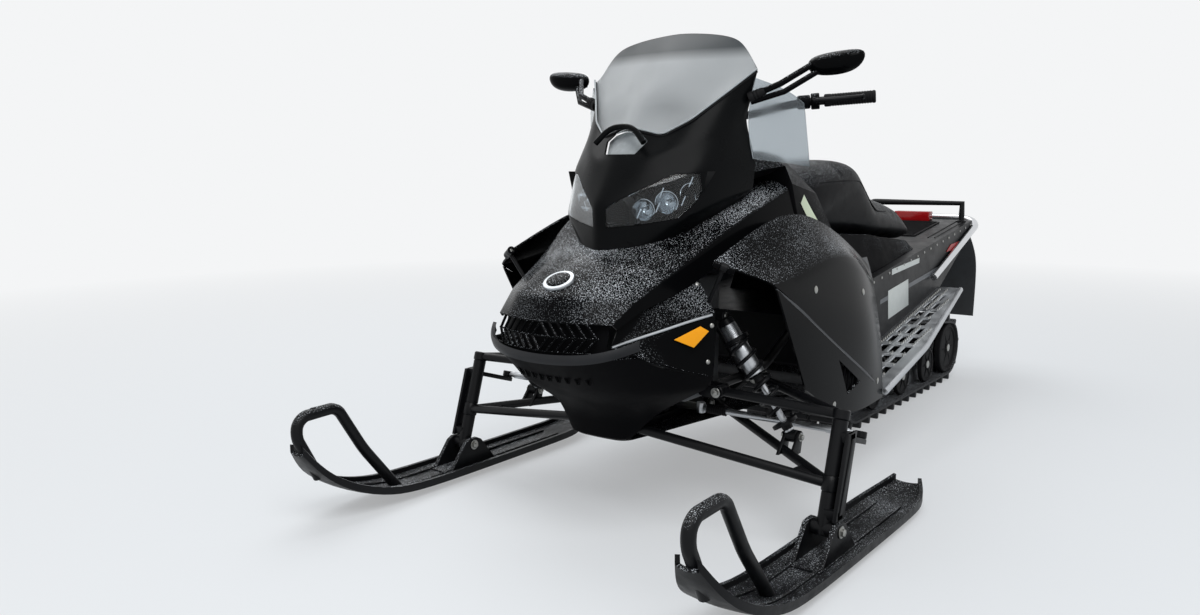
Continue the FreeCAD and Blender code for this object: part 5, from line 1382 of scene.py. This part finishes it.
def track():
    """Endless belt with a row of lugs a pitch, its inner teeth and its steel clips."""
    line = belt_line()
    length = sum(piece[1] for piece in line)
    steps = LUG_COUNT * 4
    only(None)
    bpy.ops.mesh.primitive_grid_add(x_subdivisions=3, y_subdivisions=steps, size=1)
    belt = bpy.context.object
    for i in range(steps + 1):
        place = belt_place(line, length * (i % steps) / steps)[0]
        for j, x in enumerate((-TRACK_HALF, -TRACK_HALF + 4, TRACK_HALF - 4, TRACK_HALF)):
            belt.data.vertices[4 * i + j].co = place + Vector((x / 1000, 0, 0))
    edit_all(belt)
    bpy.ops.mesh.remove_doubles(threshold=0.00001)
    bpy.ops.mesh.normals_make_consistent(inside=True)
    object_mode()
    modify(belt, "SOLIDIFY", thickness=0.007, offset=-1)
    face_out(belt)
    lug, clip = lug_shape(), clip_shape()
    lugs, clips = [], []
    for k in range(LUG_COUNT):
        place, out, ahead = belt_place(line, length * (k + 0.5) / LUG_COUNT)
        move = Matrix.Translation(place) @ Matrix((Vector((1, 0, 0)), ahead, out)).transposed().to_4x4()
        lugs.append(stamped(lug, move))
        clips.append(stamped(clip, move))
    bpy.data.objects.remove(lug)
    bpy.data.objects.remove(clip)
    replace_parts(finish_piece(joined([belt] + lugs), "track_belt", track_rubber), "track")
    finish_piece(joined(clips), "track_clips", zinc_steel)


def lug_shape():
    """One row of tread in the belt's own frame: a tall cleat in three parts with webs, and two drive teeth."""
    parts = [side_slab([(-11, 5), (11, 5), (5.5, tall + 7), (-5.5, tall + 7)], low, high, 0.0015)
             for low, high, tall in ((-184, -78, 27), (-66, 66, 27.5), (78, 184, 27))]
    parts += [side_slab([(-8, 5), (8, 5), (4, 17), (-4, 17)], x - 8, x + 8, 0) for x in (-72, 72)]
    parts += [side_slab([(-14, 5), (14, 5), (3, 22), (-3, 22)], x - 3, x + 3, 0)
              for x in (-150, -100, -40, 40, 100, 150)]
    return joined(parts)


def clip_shape():
    """Pair of steel clips on the belt's inner side."""
    return joined([block((x / 1000 - 0.013, -0.011, -0.0012), (x / 1000 + 0.013, 0.011, 0), 0.0004, 1)
                   for x in (-98, 98)])


def wheel_body(y, z, x_in, radius, width):
    """Rubber tyre and dished disc of a left wheel; returns both."""
    a, b = mm(x_in, y, z), mm(x_in + width, y, z)
    r = radius / 1000
    tyre = [(0, 0.82), (0.04, 0.97), (0.16, 1), (0.84, 1), (0.96, 0.97), (1, 0.84), (0.86, 0.82)]
    dish = [(0, 0.8), (0.8, 0.8), (0.86, 0.76), (0.3, 0.7), (0.2, 0.42), (0.9, 0.3), (1, 0.26)]
    tyre = turned(a, b, [(share, r * wide) for share, wide in tyre], 40)
    dish = turned(a + (b - a) * 0.45, a + (b - a) * 0.95, [(share, r * wide) for share, wide in dish], 40)
    ribs = []
    for k in range(6):
        turn = math.pi * k / 3
        out = Vector((0, math.cos(turn), math.sin(turn)))
        middle = a + (b - a) * 0.7
        ribs.append(turned(middle + out * r * 0.3, middle + out * r * 0.74, [(0, 0.006), (1, 0.004)], 8))
    return tyre, joined([dish] + ribs)


# Idler wheels: y, z, radius, width; and the x of their inner side
IDLERS, IDLER_IN = [(1052, 132, 96.3, 24), (330, 101, 65.2, 18), (590, 101, 65.2, 18), (840, 101, 65.2, 18)], 160


def wheels():
    """Idler wheels with their caps, and the axles between them."""
    tyres, discs, caps = [], [], []
    for y, z, radius, width in IDLERS:
        tyre, dish = wheel_body(y, z, IDLER_IN, radius, width)
        tyres.append(tyre)
        discs.append(dish)
        caps.append(disc(mm(IDLER_IN + width - 1, y, z), Vector((1, 0, 0)), 0.014, 0.003, 20))
    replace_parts(both_sides(joined(tyres), "idler_tyres", grip_rubber)[0], "idler_wheels")
    both_sides(joined(discs), "idler_discs", matte_black)
    both_sides(joined(caps), "idler_caps", zinc_steel)
    axles = [bar((-161, y, z), (161, y, z), 13 if radius > 90 else 9) for y, z, radius, width in IDLERS]
    finish_piece(joined(axles), "idler_axles", zinc_steel)


def tunnel_top(y):
    """Height of the tunnel's top, which rises to its rear end."""
    return 624 - (1150 - y) * math.tan(TUNNEL_SLOPE)


def board_z(y):
    """Height of the running boards' underside."""
    return 214 + (y + 130) * math.tan(BOARD_SLOPE)


# Flat dressing on the tunnel's side: name, (y, z) outline, thickness, bevel, finish
SIDE_DRESS = [
    ("tunnel_strip", [(321, 490), (572, 508), (572, 525), (321, 509)], 0.8, 0, blank_label),
    ("tunnel_blank_plate", [(303, 348), (482, 373), (471, 462), (294, 441)], 1.2, 0.0003, blank_label),
    ("tunnel_red_reflector", [(853, 524), (1039, 532), (1096, 559), (900, 548)], 2.8, 0.0008, red_lens),
    ("tunnel_worn_band", [(228, 405), (859, 470), (859, 486), (228, 419)], 0.7, 0, worn_grey),
]


def tunnel_dress():
    """Ribs on the tunnel's top and the deck mat, rivets, and the flat pieces on its sides."""
    ribs = [bent_bar([mm(x, y, tunnel_top(y) + 0.6) for y in (800, 1138)], 0.0026, 0, 1, 3)
            for x in (-196, -172, 172, 196)]
    finish_piece(joined(ribs), "tunnel_ribs", black_coat)
    mat = []
    for k in range(17):
        y = 822 + 15.5 * k
        z = tunnel_top(y) + 4.3
        mat.append(block(mm(-112, y, z), mm(112, y + 6, z + 2.6), 0.0008, 1))
    finish_piece(joined(mat), "deck_mat_ribs", grip_rubber)
    rivets = [disc(mm(222, y, tunnel_top(y) - 14), Vector((1, 0, 0)), 0.0045, 0.002, 12, 0.0008)
              for y in range(-20, 1140, 64)]
    both_sides(joined(rivets), "tunnel_rivets", zinc_steel)
    for name, outline, thick, bevel, finish in SIDE_DRESS:
        both_sides(side_slab(outline, 222.2, 222.2 + thick, bevel), name, finish)


def board_edge(y):
    """Outer edge of the left running board: x in millimetres."""
    if y < 220:
        return 385 - 10 * min(1, (y + 130) / 350)
    return 375 - 75 * (y - 220) / 570


def boards():
    """Board with rounded holes and rows of grip teeth where there is metal under them."""
    shell = softened("running_boards", "board_plates", rolled_aluminium, 0.0012, angle=30, segments=2)
    teeth = []
    tilt = Matrix.Rotation(BOARD_SLOPE, 4, "X")
    tooth = turned(Vector((0, 0, 0)), Vector((0, 0, 0.005)), [(0, 0.0035), (1, 0.0016)], 5)
    for x in (236, 262, 300, 338):
        for y in range(-110, 771, 15):
            if x > board_edge(y) - 16:
                continue
            spot = mm(x, y, board_z(y) + 4.6)
            hit, place = shell.ray_cast(spot + Vector((0, 0, 0.02)), Vector((0, 0, -1)))[:2]
            if hit and place.z >= spot.z - 0.002:
                teeth.append(stamped(tooth, Matrix.Translation(place - Vector((0, 0, 0.0006))) @ tilt))
    bpy.data.objects.remove(tooth)
    both_sides(joined(teeth), "board_teeth", zinc_steel)


def rear_tubes():
    """Bright bumper round the tunnel's rear, and the grab rail on its two feet."""
    x, low_y = 234, 694
    z_low, z_rear = tunnel_top(low_y) - 118, 610
    path = [(x, low_y, z_low), (x, 1180, z_rear), (x - 60, 1230, z_rear + 20)]
    path += [(-px, py, pz) for px, py, pz in reversed(path)]
    tube = bent_bar([mm(*p) for p in path], 0.012, 0.06, 8, 5)
    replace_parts(finish_piece(tube, "rear_bumper_tube", bright_tube), "rear_bumper")
    foot = tunnel_top(1120)
    path = [(190, 1120, foot), (190, 1120, 690), (-190, 1120, 690), (-190, 1120, foot)]
    tube = bent_bar([mm(*p) for p in path], 0.012, 0.034, 8, 5)
    flanges = [turned(mm(x, 1120, foot - 2), mm(x, 1120, foot + 6), [(0, 0.018), (0.5, 0.018), (1, 0.013)], 28)
               for x in (-190, 190)]
    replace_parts(finish_piece(joined([tube] + flanges), "grab_rail", black_coat), "grab_bar")


def flap():
    """Sheet rubber flap with moulded ribs."""
    side_view = [(1150.3, 623), (1185, 618), (1225, 604), (1290, 552), (1365, 487), (1396, 425), (1394, 330),
                 (1382, 214)]
    rows = [[(x, y, z) for x in (-177, -90, 0, 90, 177)] for y, z in side_view]
    sheet = moulded_sheet(rows, 0.005, [("r", 0, 1.0), ("r", 7, 1.0)], 2)
    face_out(sheet)
    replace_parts(finish_piece(sheet, "flap_sheet", flap_rubber), "snow_flap")
    rib = [(1396, 470), (1402, 420), (1399, 330), (1389, 240)]
    ribs = [bent_bar([mm(x, y, z) for y, z in rib], 0.0035, 0.02, 3, 3) for x in range(-150, 151, 50)]
    finish_piece(joined(ribs), "flap_ribs", flap_rubber)


track()
wheels()
softened("slide_rails", "rail_bars", rolled_aluminium, 0.0012)
softened("drive_axle", "drive_drums", zinc_steel, 0.001)
softened("suspension_arms", "skid_arms", black_coat, 0.0015)
tunnel_dress()
boards()
rear_tubes()
flap()
softened("tail_lamp", "tail_lamp_lens", red_lens, 0.004, angle=40)
softened("deck_mat", "deck_mat_pad", grip_rubber, 0.001)
softened("engine", "engine_case", cast_case, 0.012)
